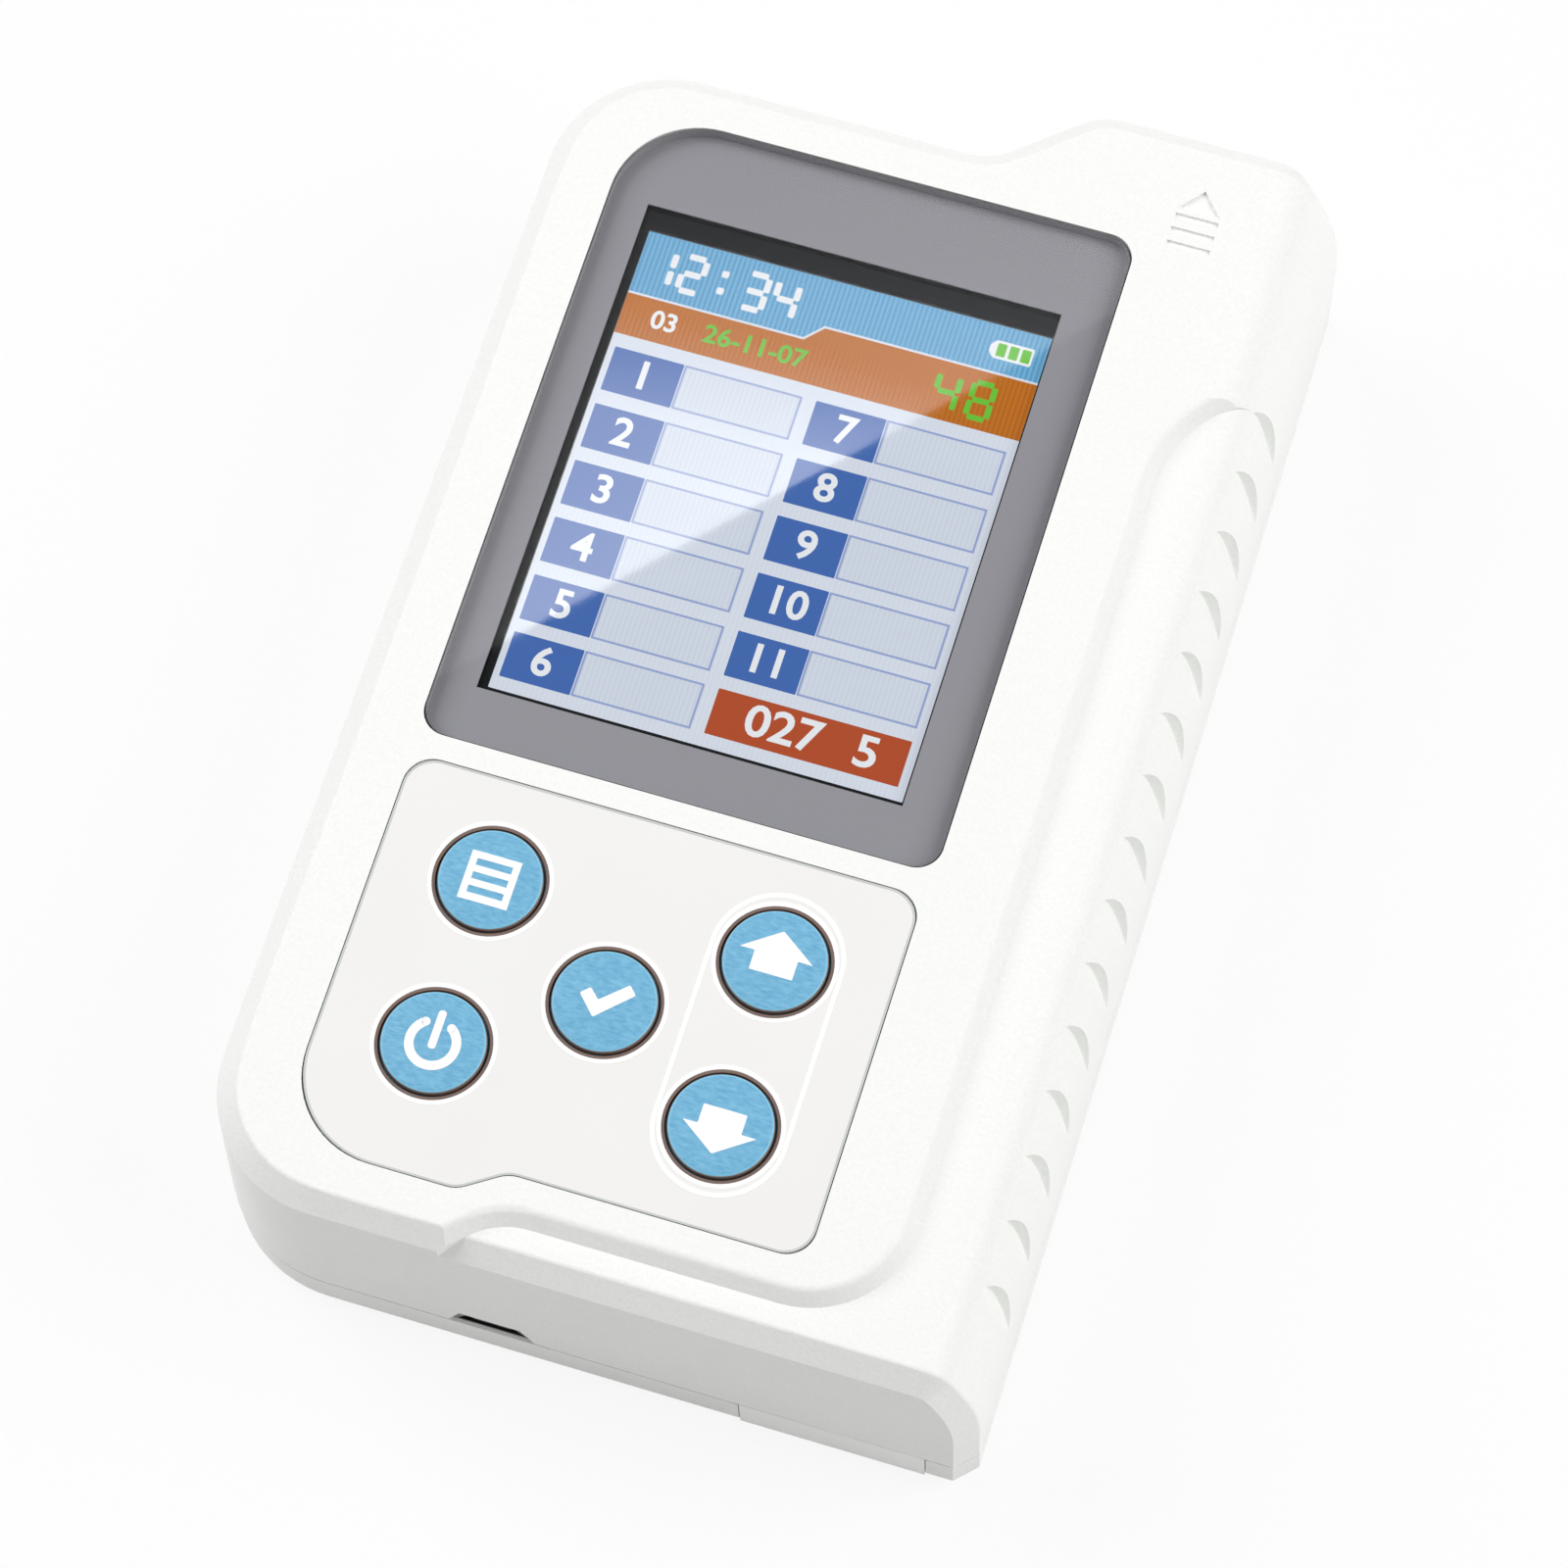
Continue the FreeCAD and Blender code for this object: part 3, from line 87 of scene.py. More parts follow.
# The shader nodes of one tree, each made by the same method
class Nodes:
    def __init__(self, tree):
        self.tree = tree

    def node(self, kind, settings={}, inputs={}, out=0):
        made = self.tree.nodes.new(kind)
        for key, value in settings.items():
            setattr(made, key, value)
        for key, value in inputs.items():
            if isinstance(value, Socket):
                self.tree.links.new(value.plug, made.inputs[key])
            else:
                made.inputs[key].default_value = value
        return Socket(self, made.outputs[out]) if made.outputs else None

    def maths(self, operation, *values):
        return self.node("ShaderNodeMath", {"operation": operation}, dict(enumerate(values)))

    def held(self, value, low, high):  # no lower and no higher than these
        return self.maths("MINIMUM", self.maths("MAXIMUM", value, low), high)

    def mix(self, share, first, second):
        return self.node("ShaderNodeMix", {"data_type": "RGBA"}, {0: share, 6: first, 7: second}, out=2)

    def part(self, vector, name):  # the X, Y or Z of a direction or a place
        return self.node("ShaderNodeSeparateXYZ", {}, {0: vector}, out=name)


# One material and the nodes in it
class Finish(Nodes):
    def __init__(self, name):
        self.material = bpy.data.materials.new(name)
        self.material.use_nodes = True
        super().__init__(self.material.node_tree)
        self.tree.nodes.clear()
        self.place = self.node("ShaderNodeTexCoord", out="Object")

    def stretched(self, scale):
        return self.node("ShaderNodeMapping", {}, {"Vector": self.place, "Scale": scale})

    def noise(self, size, detail, at=None):  # size of a blotch in mm
        values = {"Vector": at or self.place, "Scale": 1 / (size * mm), "Detail": detail}
        return self.node("ShaderNodeTexNoise", {}, values)

    def cells(self, size):  # size of a cell in mm
        return self.node("ShaderNodeTexVoronoi", {}, {"Vector": self.place, "Scale": 1 / (size * mm)})

    def axis(self, name):  # one coordinate in mm
        return self.part(self.place, name) * (1 / mm)

    def flat(self):  # the face's own direction, for plates that are truly flat
        return self.node("ShaderNodeNewGeometry", out="True Normal")

    def facing(self, name):  # one part of the smoothed direction
        return self.part(self.node("ShaderNodeNewGeometry", out="Normal"), name)

    def waves(self, along, pitch):  # 0 to 1 and back every pitch
        return self.maths("SINE", along * (2 * math.pi / pitch)) * 0.5 + 0.5

    def dots(self, pitch):  # a square grid of soft dots
        return self.waves(self.axis("X"), pitch) * self.waves(self.axis("Y"), pitch)

    def bump(self, height, depth):  # depth in mm
        return self.node("ShaderNodeBump", {}, {"Height": height, "Distance": depth * mm, "Strength": 1.0})

    def skin(self, values):
        return self.shown(self.node("ShaderNodeBsdfPrincipled", {}, values))

    def shown(self, shader):
        self.node("ShaderNodeOutputMaterial", {}, {"Surface": shader})
        return self.material


def rgb(red, green, blue):  # screen colour, 0 to 255, to the linear one that materials take
    shares = [part / 255 for part in (red, green, blue)]
    return [s / 12.92 if s <= 0.04045 else ((s + 0.055) / 1.055) ** 2.4 for s in shares] + [1.0]


def shade(colour, factor):
    return [min(1.0, part * factor) for part in colour[:3]] + [1.0]


# Moulded plastic: spark-eroded grain, faint flow mottling, handling marks in the gloss
moulding = {
    "flow": 18, "mottle": 0.02, "marks": 5, "marksGloss": 0.12, "grainGloss": 0.1, "grainContrast": 2.5,
    "pitSize": 1.6, "grainShare": 0.7, "pitShare": 0.5,
}


def moulded(name, colour, grain, depth, rough, shine=0.5, speck=0.985):
    look = Finish(name)
    fine = look.noise(grain, 3.0)
    pits = look.cells(grain * moulding["pitSize"])
    flow = look.noise(moulding["flow"], 3.0)
    marks = look.noise(moulding["marks"], 4.0)
    tint = look.mix(flow, shade(colour, 1 - moulding["mottle"]), shade(colour, 1 + moulding["mottle"]))
    grains = look.held((fine - 0.5) * moulding["grainContrast"] + 0.5, 0.0, 1.0)
    gloss = (marks - 0.5) * moulding["marksGloss"] + (fine - 0.5) * moulding["grainGloss"] + rough
    height = fine * moulding["grainShare"] + pits * moulding["pitShare"]
    return look.skin({"Base Color": look.mix(grains, tint, shade(colour, speck)), "Roughness": gloss,
                      "Specular IOR Level": shine, "Normal": look.bump(height, depth)})


# Rolled or plated metal: fine streaks along the piece, cloudy gloss
rolling = {"streakSize": 0.12, "cloudSize": 4, "dull": 0.9, "bright": 1.05, "depth": 0.004}


def metal(name, colour, rough=0.28, streak=(0.06, 1.0, 1.0)):
    look = Finish(name)
    lines = look.noise(rolling["streakSize"], 3.0, look.stretched(streak))
    cloud = look.noise(rolling["cloudSize"], 3.0)
    return look.skin({
        "Base Color": look.mix(cloud, shade(colour, rolling["dull"]), shade(colour, rolling["bright"])),
        "Metallic": 1.0, "Roughness": lines * 0.12 + cloud * 0.1 + rough - 0.1,
        "Normal": look.bump(lines, rolling["depth"])})


# The lit page of the display, in mm: its edges, the step of its header, its rows of cells and their print
screen = {
    "left": -24.05, "right": 14.71, "low": -9.76, "high": 37.78, "pageRound": 0.1,
    "bandLow": 27.03, "headerLow": 31.47, "headerLowRight": 33.11, "stepLeft": -7.22, "stepRight": -5.65,
    "bandGap": 0.24, "bandSlip": 0.1,
    "rowHigh": (25.65, 19.67, 13.73, 7.83, 1.89, -3.94), "rowHeight": 4.52,
    "labels": ((-23.45, -16.8), (-4.15, 2.55)), "fields": ((-16.7, -5.47), (2.64, 13.91)),
    "cellRound": 0.08, "lineWidth": 0.2, "fieldLeft": 0.1, "fieldRight": 0.2, "fieldEnds": 0.22,
    "lift": 0.005, "layer": 0.02, "wordLift": 0.055, "wordThick": 0.02,
    "pixel": 0.153, "stripe": 0.46,
}

# How much of its gloss the lens shows is painted by place, a painted reflection mask: most over the lower
# rows of the page, little over the printed border.
# The slip is how far the page's outline moves on the lens, seen from the photograph's side
lensShine = {"slip": (0.28, -0.73), "border": 0.15, "header": 0.42, "fadeFrom": 36.5, "fadeOver": 17.5}


def lensGloss(look):
    x, y = look.axis("X"), look.axis("Y")
    slipX, slipY = lensShine["slip"]
    # Painted reflection: full gloss only inside the page's outline, fading towards its far end
    page = (x > screen["left"] + slipX) * (x < screen["right"] + slipX)
    page = page * (y > screen["low"] + slipY) * (y < screen["high"] + slipY)
    fall = look.held((lensShine["fadeFrom"] - y) / lensShine["fadeOver"], lensShine["header"], 1.0)
    return page * (fall - lensShine["border"]) + lensShine["border"]


# Clear plastic: what is behind it shows through and the outer upper face reflects. Side is the colour of a
# painted edge, share a function that says how much of the gloss shows at each place
def clear(name, tint, smear=0.02, bend=1.49, side=None, share=None):
    look = Finish(name)
    outside = 1 - look.node("ShaderNodeNewGeometry", out="Backfacing")
    up = look.part(look.flat(), "Z")
    fresnel = look.node("ShaderNodeFresnel", {}, {"IOR": bend, "Normal": look.flat()})
    film = look.noise(6, 4.0)
    gloss = look.node("ShaderNodeBsdfGlossy", {}, {"Roughness": film * smear + 0.01, "Normal": look.flat()})
    through = look.node("ShaderNodeBsdfTransparent", {}, {"Color": tint})
    strength = fresnel * outside * (up > 0.3)
    if share:
        strength = strength * share(look)
    pane = look.node("ShaderNodeMixShader", {}, {0: strength, 1: through, 2: gloss})
    if side is None:
        return look.shown(pane)
    paint = look.mix(film * 0.3, side, shade(side, 0.8))
    edge = look.node("ShaderNodeBsdfPrincipled", {}, {"Base Color": paint, "Roughness": film * 0.1 + 0.4})
    level = look.maths("ABSOLUTE", up) > 0.5
    return look.shown(look.node("ShaderNodeMixShader", {}, {0: level, 1: edge, 2: pane}))


# Green circuit board: solder mask over copper tracks, gold pads in rows
board = {
    "mask": rgb(14, 82, 44), "track": rgb(30, 112, 58), "cloud": rgb(8, 60, 34), "pad": rgb(214, 176, 92),
    "trackPitch": 1.3, "trackBend": 4, "trackShare": 0.72, "padPitch": 2.54, "padShare": 0.9,
}


def boardFinish():
    look = Finish("solderMask")
    bend = look.noise(9, 1.0) * board["trackBend"]
    tracks = look.waves(look.axis("X") + bend, board["trackPitch"]) > board["trackShare"]
    pads = look.dots(board["padPitch"]) > board["padShare"]
    grain = look.noise(0.4, 3.0)
    tint = look.mix(grain * 0.3, look.mix(tracks, board["mask"], board["track"]), board["cloud"])
    return look.skin({
        "Base Color": look.mix(pads, tint, board["pad"]), "Metallic": pads * 0.9,
        "Roughness": grain * 0.2 + 0.28, "Normal": look.bump(tracks * 0.6 + grain * 0.2 + pads * 0.4, 0.03)})


# Foam and cast rubber: open cells or a dull, slightly dusty skin
dusting = {"size": 3, "share": 0.5, "paler": 1.7}


def soft(name, colour, cell=0.35, depth=0.05, rough=0.8):
    look = Finish(name)
    cells = look.cells(cell)
    dust = look.noise(dusting["size"], 4.0)
    tint = look.mix(dust * dusting["share"], colour, shade(colour, dusting["paler"]))
    return look.skin({
        "Base Color": tint, "Roughness": dust * 0.15 + rough - 0.08,
        "Normal": look.bump(cells * 0.6 + look.noise(cell * 2, 3.0) * 0.6, depth)})


# Grey film behind the lens: a flat print with a faint screen dot; it is a shade lighter towards the keys, and
# that difference between the ends is painted light, not a change in the print
mask = {
    "nearKeys": rgb(149, 148, 152), "farEnd": rgb(146, 144, 149), "cloud": rgb(160, 159, 165),
    "dotPitch": 0.24, "fadeFrom": -18, "fadeOver": 30, "fadeSoft": 0.2, "gap": 0.012,
}


def maskFinish():
    look = Finish("maskPrint")
    cloud = look.noise(16, 2.0)
    # Painted light: the tone moves from the keys' end to the far end
    rise = look.maths("MAXIMUM", (look.axis("Y") - mask["fadeFrom"]) / mask["fadeOver"], 0.0)
    fade = look.maths("SMOOTH_MIN", rise, 1.0, mask["fadeSoft"])
    tint = look.mix(fade, mask["nearKeys"], mask["farEnd"])
    tint = look.mix(cloud * 0.12 + look.dots(mask["dotPitch"]) * 0.05, tint, mask["cloud"])
    return look.skin({"Base Color": tint, "Roughness": cloud * 0.1 + 0.5, "Specular IOR Level": 0.2,
                      "Normal": look.flat()})


# Unlit display glass: near black, smooth, with the faint grid of its pixels
glass = {"dark": rgb(19, 20, 23), "light": rgb(26, 28, 33), "film": 9}


def displayFinish():
    look = Finish("displayBlack")
    film = look.noise(glass["film"], 3.0)
    tint = look.mix(look.dots(screen["pixel"]) * 0.4, glass["dark"], glass["light"])
    return look.skin({"Base Color": tint, "Roughness": film * 0.08 + 0.12, "Specular IOR Level": 0.3,
                      "Normal": look.flat()})


# Overlay film round the keys: pale grey, satin, a darker cut edge
overlay = {"dark": rgb(235, 234, 232), "light": rgb(239, 238, 236), "cut": rgb(196, 199, 196), "grain": 0.18,
           "cloud": 14, "cutFrom": 0.9, "depth": 0.006}


def overlayFinish():
    look = Finish("overlayFilm")
    grain = look.noise(overlay["grain"], 3.0)
    cloud = look.noise(overlay["cloud"], 3.0)
    edge = look.facing("Z") < overlay["cutFrom"]
    tint = look.mix(cloud, overlay["dark"], overlay["light"])
    return look.skin({
        "Base Color": look.mix(edge, tint, overlay["cut"]), "Roughness": grain * 0.12 + 0.42,
        "Specular IOR Level": 0.35, "Normal": look.bump(grain, overlay["depth"])})


# Key cap: sky blue with a fine brushed crinkle, a painted highlight on the rounded rim, brown down its skirt
cap = {
    "dark": rgb(96, 164, 202), "light": rgb(128, 190, 222), "rim": rgb(136, 208, 238),
    "skirt": rgb(138, 116, 106), "crinkle": 0.42, "stretch": (0.6, 1.5, 1.0), "contrast": 2.2, "fine": 0.16,
    "rimFrom": 0.975, "rimGain": 8, "rimMost": 0.7, "skirtFrom": 0.62, "depth": 0.03,
}


def capFinish():
    look = Finish("keyBlue")
    crinkle = look.noise(cap["crinkle"], 4.0, look.stretched(cap["stretch"]))
    fine = look.noise(cap["fine"], 3.0)
    up = look.facing("Z")
    spread = look.held((crinkle - 0.5) * cap["contrast"] + 0.5, 0.0, 1.0)
    # Painted highlight: where the cap's top starts to round over, it is made lighter, standing in for the
    # light the rim catches
    rim = look.held((cap["rimFrom"] - up) * cap["rimGain"], 0.0, cap["rimMost"])
    tint = look.mix(rim, look.mix(spread, cap["dark"], cap["light"]), cap["rim"])
    return look.skin({
        "Base Color": look.mix(up < cap["skirtFrom"], tint, cap["skirt"]),
        "Roughness": fine * 0.14 + crinkle * 0.1 + 0.38, "Specular IOR Level": 0.4,
        "Normal": look.bump(crinkle * 0.7 + fine * 0.5, cap["depth"])})


# Charging socket: dark nickel shell; further in than its lip it is painted black and not metal, a painted
# shadow of its inside
port = {"dark": rgb(74, 76, 80), "light": rgb(96, 98, 101), "inside": rgb(9, 9, 11), "worn": 0.5, "lip": 0.05,
        "depth": 0.01}


def portFinish():
    look = Finish("portShade")
    worn = look.noise(port["worn"], 3.0)
    # Painted shadow: every point further in than the lip is black and loses its metal
    deep = look.axis("Y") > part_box("usb_port")[0][1] / mm + port["lip"]
    tint = look.mix(worn, port["dark"], port["light"])
    return look.skin({
        "Base Color": look.mix(deep, tint, port["inside"]), "Metallic": 0.6 - deep * 0.6,
        "Roughness": worn * 0.2 + 0.35, "Normal": look.bump(worn, port["depth"])})


# Pouch cell: crinkled aluminium laminate
pouch = {"dark": rgb(186, 190, 194), "light": rgb(214, 217, 220), "folds": 4, "fine": 0.5, "depth": 0.15}


def pouchFinish():
    look = Finish("pouchFoil")
    folds = look.noise(pouch["folds"], 5.0)
    fine = look.noise(pouch["fine"], 3.0)
    tint = look.mix(folds, pouch["dark"], pouch["light"])
    return look.skin({
        "Base Color": tint, "Metallic": 0.85, "Roughness": fine * 0.15 + folds * 0.15 + 0.25,
        "Normal": look.bump(folds + fine * 0.3, pouch["depth"])})


slotFinishes = {
    "shell_plastic": moulded("shellWhite", rgb(246, 247, 244), grain=0.34, depth=0.03, rough=0.5, shine=0.35,
                             speck=0.955),
    "tray_plastic": moulded("trayWhite", rgb(247, 247, 245), grain=0.2, depth=0.006, rough=0.36, shine=0.45),
    "lens_acrylic": clear("lensClear", (0.97, 0.975, 0.98, 1), bend=1.75, side=rgb(160, 159, 163),
                          share=lensGloss),
    "mask_ink": maskFinish(),
    "foam_black": soft("foamBlack", rgb(26, 26, 27)),
    "display_glass": displayFinish(),
    "frame_steel": metal("frameSteel", (0.62, 0.62, 0.61, 1)),
    "flex_film": moulded("flexAmber", rgb(196, 132, 52), grain=0.6, depth=0.01, rough=0.3),
    "connector_plastic": moulded("connectorIvory", rgb(232, 226, 206), grain=0.2, depth=0.01, rough=0.4),
    "panel_film": overlayFinish(),
    "seal_rubber": soft("sealBrown", rgb(112, 93, 85), cell=0.2, depth=0.01, rough=0.7),
    "key_plastic": capFinish(),
    "switch_black": moulded("switchBlack", rgb(34, 34, 35), grain=0.2, depth=0.01, rough=0.4),
    "board_green": boardFinish(),
    "chip_epoxy": moulded("chipBlack", rgb(30, 30, 32), grain=0.15, depth=0.02, rough=0.55),
    "bright_steel": metal("zincSteel", (0.7, 0.7, 0.69, 1), rough=0.24, streak=(1.0, 1.0, 0.1)),
    "rubber_grey": soft("footRubber", rgb(92, 92, 93), cell=0.3, depth=0.02),
    "cell_film": pouchFinish(),
    "gear_acetal": moulded("gearAcetal", rgb(240, 240, 233), grain=0.25, depth=0.008, rough=0.3),
    "chassis_plastic": moulded("chassisGrey", rgb(84, 84, 87), grain=0.4, depth=0.02, rough=0.5),
    "reference_white": moulded("referenceWhite", rgb(250, 250, 247), grain=0.12, depth=0.006, rough=0.7,
                               shine=0.2),
    "optics_black": moulded("opticsBlack", rgb(22, 22, 22), grain=0.25, depth=0.02, rough=0.8, shine=0.2),
    "lamp_epoxy": clear("lampEpoxy", (0.93, 0.93, 0.88, 1), smear=0.06),
    "window_glass": clear("windowGlass", (0.96, 0.98, 0.98, 1)),
}
nodeFinishes = {"usb_port": portFinish()}  # nodes that look unlike the rest of their slot
for part in frame["record"]["subparts"]:
    mesh = nodes[part["node"]].data
    mesh.materials.clear()
    mesh.materials.append(nodeFinishes.get(part["node"]) or slotFinishes[part["material_slot"]])
# The printed film touches the lens, so a hair's gap keeps the two faces from showing through each other
shrink = nodes["lens_mask"].modifiers.new("hairGap", "DISPLACE")
shrink.direction, shrink.mid_level, shrink.strength = "NORMAL", 0.0, -mask["gap"] * mm


# Helpers for the lit and printed pieces: flat faces in mm that are made thin solids
weld = 1e-6  # points closer than this, in metres, are one
snap = 1e-8  # a cut closer than this to a point goes through the point


def newPiece(name, bm, finish, body):
    bmesh.ops.recalc_face_normals(bm, faces=bm.faces[:])
    mesh = bpy.data.meshes.new(name)
    bm.to_mesh(mesh)
    bm.free()
    mesh.materials.append(finish)
    piece = bpy.data.objects.new(name, mesh)
    bpy.context.scene.collection.objects.link(piece)
    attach(piece, body)


def flatFace(bm, corners, rounding=0.0, steps=2):  # each corner rounded in this many steps
    points = [bm.verts.new((x * mm, y * mm, 0)) for x, y in corners]
    bm.faces.new(points)
    if rounding:
        bmesh.ops.bevel(bm, geom=points, offset=rounding * mm, offset_type="OFFSET", affect="VERTICES",
                        segments=steps, profile=0.5, material=-1, clamp_overlap=True)


def box(left, low, right, high):
    return [(left, low), (right, low), (right, high), (left, high)]


def disc(bm, x, y, radius, sides):
    made = bmesh.ops.create_circle(bm, cap_ends=True, radius=radius * mm, segments=sides)
    bmesh.ops.translate(bm, verts=made["verts"], vec=(x * mm, y * mm, 0))


def ringFace(bm, inner, outer, sides=96, first=0.0, sweep=360.0):  # a flat ring, or a stretch of one
    start = Matrix.Rotation(math.radians(first), 4, "Z")
    ends = [bm.verts.new(start @ Vector((radius * mm, 0, 0))) for radius in (inner, outer)]
    edge = bm.edges.new(ends)
    bmesh.ops.spin(bm, geom=[edge] + ends, cent=(0, 0, 0), axis=(0, 0, 1), angle=math.radians(sweep),
                   steps=sides, use_merge=sweep == 360.0)
    bmesh.ops.remove_doubles(bm, verts=bm.verts[:], dist=weld)


def outline(bm, width):  # keeps only a line of this width inside each face
    faces = bm.faces[:]
    bmesh.ops.inset_individual(bm, faces=faces, thickness=width * mm, use_even_offset=True)
    bmesh.ops.delete(bm, geom=faces, context="FACES_ONLY")


def shifted(bm, x=0.0, y=0.0, z=0.0):
    bmesh.ops.translate(bm, verts=bm.verts[:], vec=(x * mm, y * mm, z * mm))


def thicken(bm, low, height):  # flat faces become a solid that stands on low
    raised = bmesh.ops.extrude_face_region(bm, geom=bm.faces[:], use_keep_orig=True)["geom"]
    tops = [part for part in raised if isinstance(part, bmesh.types.BMVert)]
    bmesh.ops.translate(bm, verts=tops, vec=(0, 0, height * mm))
    shifted(bm, z=low)


def numerals(bm, words, x, y, height, bold, squeeze=1.0):  # plain numbers, centred on a place
    heightShare = 0.7  # of the font's size
    curve = bpy.data.curves.new("numerals", "FONT")
    curve.body, curve.size = words, height * mm / heightShare
    curve.align_x, curve.align_y = "CENTER", "CENTER"
    curve.offset, curve.resolution_u = bold * mm, 4
    curve.extrude = screen["wordThick"] * mm / 2
    writing = bpy.data.objects.new("numerals", curve)
    bpy.context.scene.collection.objects.link(writing)
    bpy.context.view_layer.update()
    mesh = bpy.data.meshes.new_from_object(writing)
    mesh.transform(Matrix.Translation((x * mm, y * mm, 0)) @ Matrix.Diagonal((squeeze, 1, 1, 1)))
    bm.from_mesh(mesh)
    bpy.data.objects.remove(writing)
    bpy.data.meshes.remove(mesh)
    bpy.data.curves.remove(curve)


# Numbers made of seven bars: each bar from one place in the digit's cell to another
barPlaces = {"a": (0, 1, 1, 1), "b": (1, 0.5, 1, 1), "c": (1, 0, 1, 0.5), "d": (0, 0, 1, 0),
             "e": (0, 0, 0, 0.5), "f": (0, 0.5, 0, 1), "g": (0, 0.5, 1, 0.5)}
digitBars = {"1": "bc", "2": "abged", "3": "abgcd", "4": "fgbc", "8": "abcdefg"}
digitCell = {"wide": 1.95, "high": 3.55, "endShare": 0.3}


def barDigit(bm, digit, left, low, thick):
    for bar in digitBars[digit]:
        x0, y0, x1, y1 = barPlaces[bar]
        start = Vector((left + x0 * digitCell["wide"], low + y0 * digitCell["high"]))
        end = Vector((left + x1 * digitCell["wide"], low + y1 * digitCell["high"]))
        along = (end - start).normalized()
        side = Vector((-along.y, along.x)) * thick / 2
        rounding = thick * digitCell["endShare"]
        start, end = start + along * rounding, end - along * rounding
        flatFace(bm, [start - side, end - side, end + side, start + side], rounding, steps=3)


# A lit colour, with the display's own fine rows and columns: its glow and its ground are darker in the grid
lit = {"glow": 0.62, "ground": 0.3, "glowDark": 0.25, "groundDark": 0.4, "grid": 0.1, "cloud": 0.06,
       "cloudSize": 7, "depth": 0.003}


def litFinish(name, colour, stripes=0.0):
    look = Finish(name)
    mesh = look.dots(screen["pixel"]) * lit["grid"] + look.noise(lit["cloudSize"], 2.0) * lit["cloud"]
    dark = mesh + look.waves(look.axis("X"), screen["stripe"]) * stripes
    glow = look.mix(dark, shade(colour, lit["glow"]), shade(colour, lit["glow"] * lit["glowDark"]))
    ground = look.mix(dark, shade(colour, lit["ground"]), shade(colour, lit["ground"] * lit["groundDark"]))
    return look.skin({
        "Base Color": ground, "Roughness": mesh * 0.3 + 0.22, "Specular IOR Level": 0.2,
        "Emission Color": glow, "Emission Strength": 1.0, "Normal": look.bump(mesh, lit["depth"])})


litWhite = litFinish("litWhite", rgb(250, 252, 255))
litPage = litFinish("litPage", rgb(232, 239, 251), stripes=0.06)
litHeader = litFinish("litHeader", rgb(118, 190, 236), stripes=0.42)
litBand = litFinish("litBand", rgb(210, 120, 27), stripes=0.3)
litLabel = litFinish("litLabel", rgb(62, 108, 186))
litField = litFinish("litField", rgb(226, 234, 247), stripes=0.1)
litLine = litFinish("litLine", rgb(160, 176, 222))
litCounter = litFinish("litCounter", rgb(190, 76, 26))
litGreen = litFinish("litGreen", rgb(112, 204, 58))
screenBase = topOf("lcd_panel") + screen["lift"]


def screenPiece(name, bm, layer, finish):
    thicken(bm, screenBase + layer * screen["layer"], screen["layer"])
    newPiece(name, bm, finish, "case")


def screenFaces(name, outlines, layer, finish, rounding=0.0, steps=2, line=0.0):
    bm = bmesh.new()
    for corners in outlines:
        flatFace(bm, corners, rounding, steps)
    if line:
        outline(bm, line)
    screenPiece(name, bm, layer, finish)


def screenWords(name, groups, finish):
    bm = bmesh.new()
    for group in groups:
        numerals(bm, *group)
    shifted(bm, z=screenBase + screen["wordLift"])
    newPiece(name, bm, finish, "case")


# Page, header with its stepped lower edge, and the band below it
def buildPage():
    s = screen
    left, right, high, gap = s["left"], s["right"], s["high"], s["bandGap"]
    screenFaces("screen_page", [box(left, s["low"], right, high)], 0, litPage, s["pageRound"], steps=6)
    header = [(left, s["headerLow"]), (s["stepLeft"], s["headerLow"]), (s["stepRight"], s["headerLowRight"]),
              (right, s["headerLowRight"]), (right, high), (left, high)]
    screenFaces("screen_header", [header], 1, litHeader)
    stepLeft, stepRight = s["stepLeft"] + s["bandSlip"], s["stepRight"] + s["bandSlip"]
    band = [(left, s["bandLow"]), (right, s["bandLow"]), (right, s["headerLowRight"] - gap),
            (stepRight, s["headerLowRight"] - gap), (stepLeft, s["headerLow"] - gap),
            (left, s["headerLow"] - gap)]
    screenFaces("screen_band", [band], 1, litBand)


# Two columns of cells, each a numbered label and a field with a thin line round it
cellNumber = {"height": 2.75, "bold": 0.09, "squeeze": 1.02}


def buildCells():
    s, n = screen, cellNumber
    labels, fields, lines, numbers = [], [], [], []
    cells = [(column, high) for column in (0, 1) for high in s["rowHigh"]]
    for column, high in cells[:-1]:  # the counter has the last place
        low = high - s["rowHeight"]
        left, right = s["labels"][column]
        labels.append(box(left, low, right, high))
        numbers.append((str(len(labels)), (left + right) / 2, (low + high) / 2, n["height"], n["bold"],
                        n["squeeze"]))
        left, right = s["fields"][column]
        lines.append(box(left, low, right, high))
        fields.append(box(left + s["fieldLeft"], low + s["fieldEnds"], right - s["fieldRight"],
                          high - s["fieldEnds"]))
    screenFaces("cell_labels", labels, 1, litLabel, s["cellRound"])
    screenFaces("cell_fields", fields, 1, litField)
    screenFaces("cell_lines", lines, 2, litLine, s["cellRound"], line=s["lineWidth"])
    screenWords("cell_numbers", numbers, litWhite)


# The counter in the last cell: a red block with two numbers
counter = {"words": (("027", 2.5), ("5", 10.3)), "height": 3.0, "bold": 0.08, "squeeze": 1.1}


def buildCounter():
    s = screen
    high = s["rowHigh"][-1]
    low = high - s["rowHeight"]
    block = box(s["labels"][1][0], low, s["fields"][1][1], high)
    screenFaces("counter_block", [block], 1, litCounter, s["cellRound"])
    words = [(word, x, (low + high) / 2, counter["height"], counter["bold"], counter["squeeze"])
             for word, x in counter["words"]]
    screenWords("counter_number", words, litWhite)


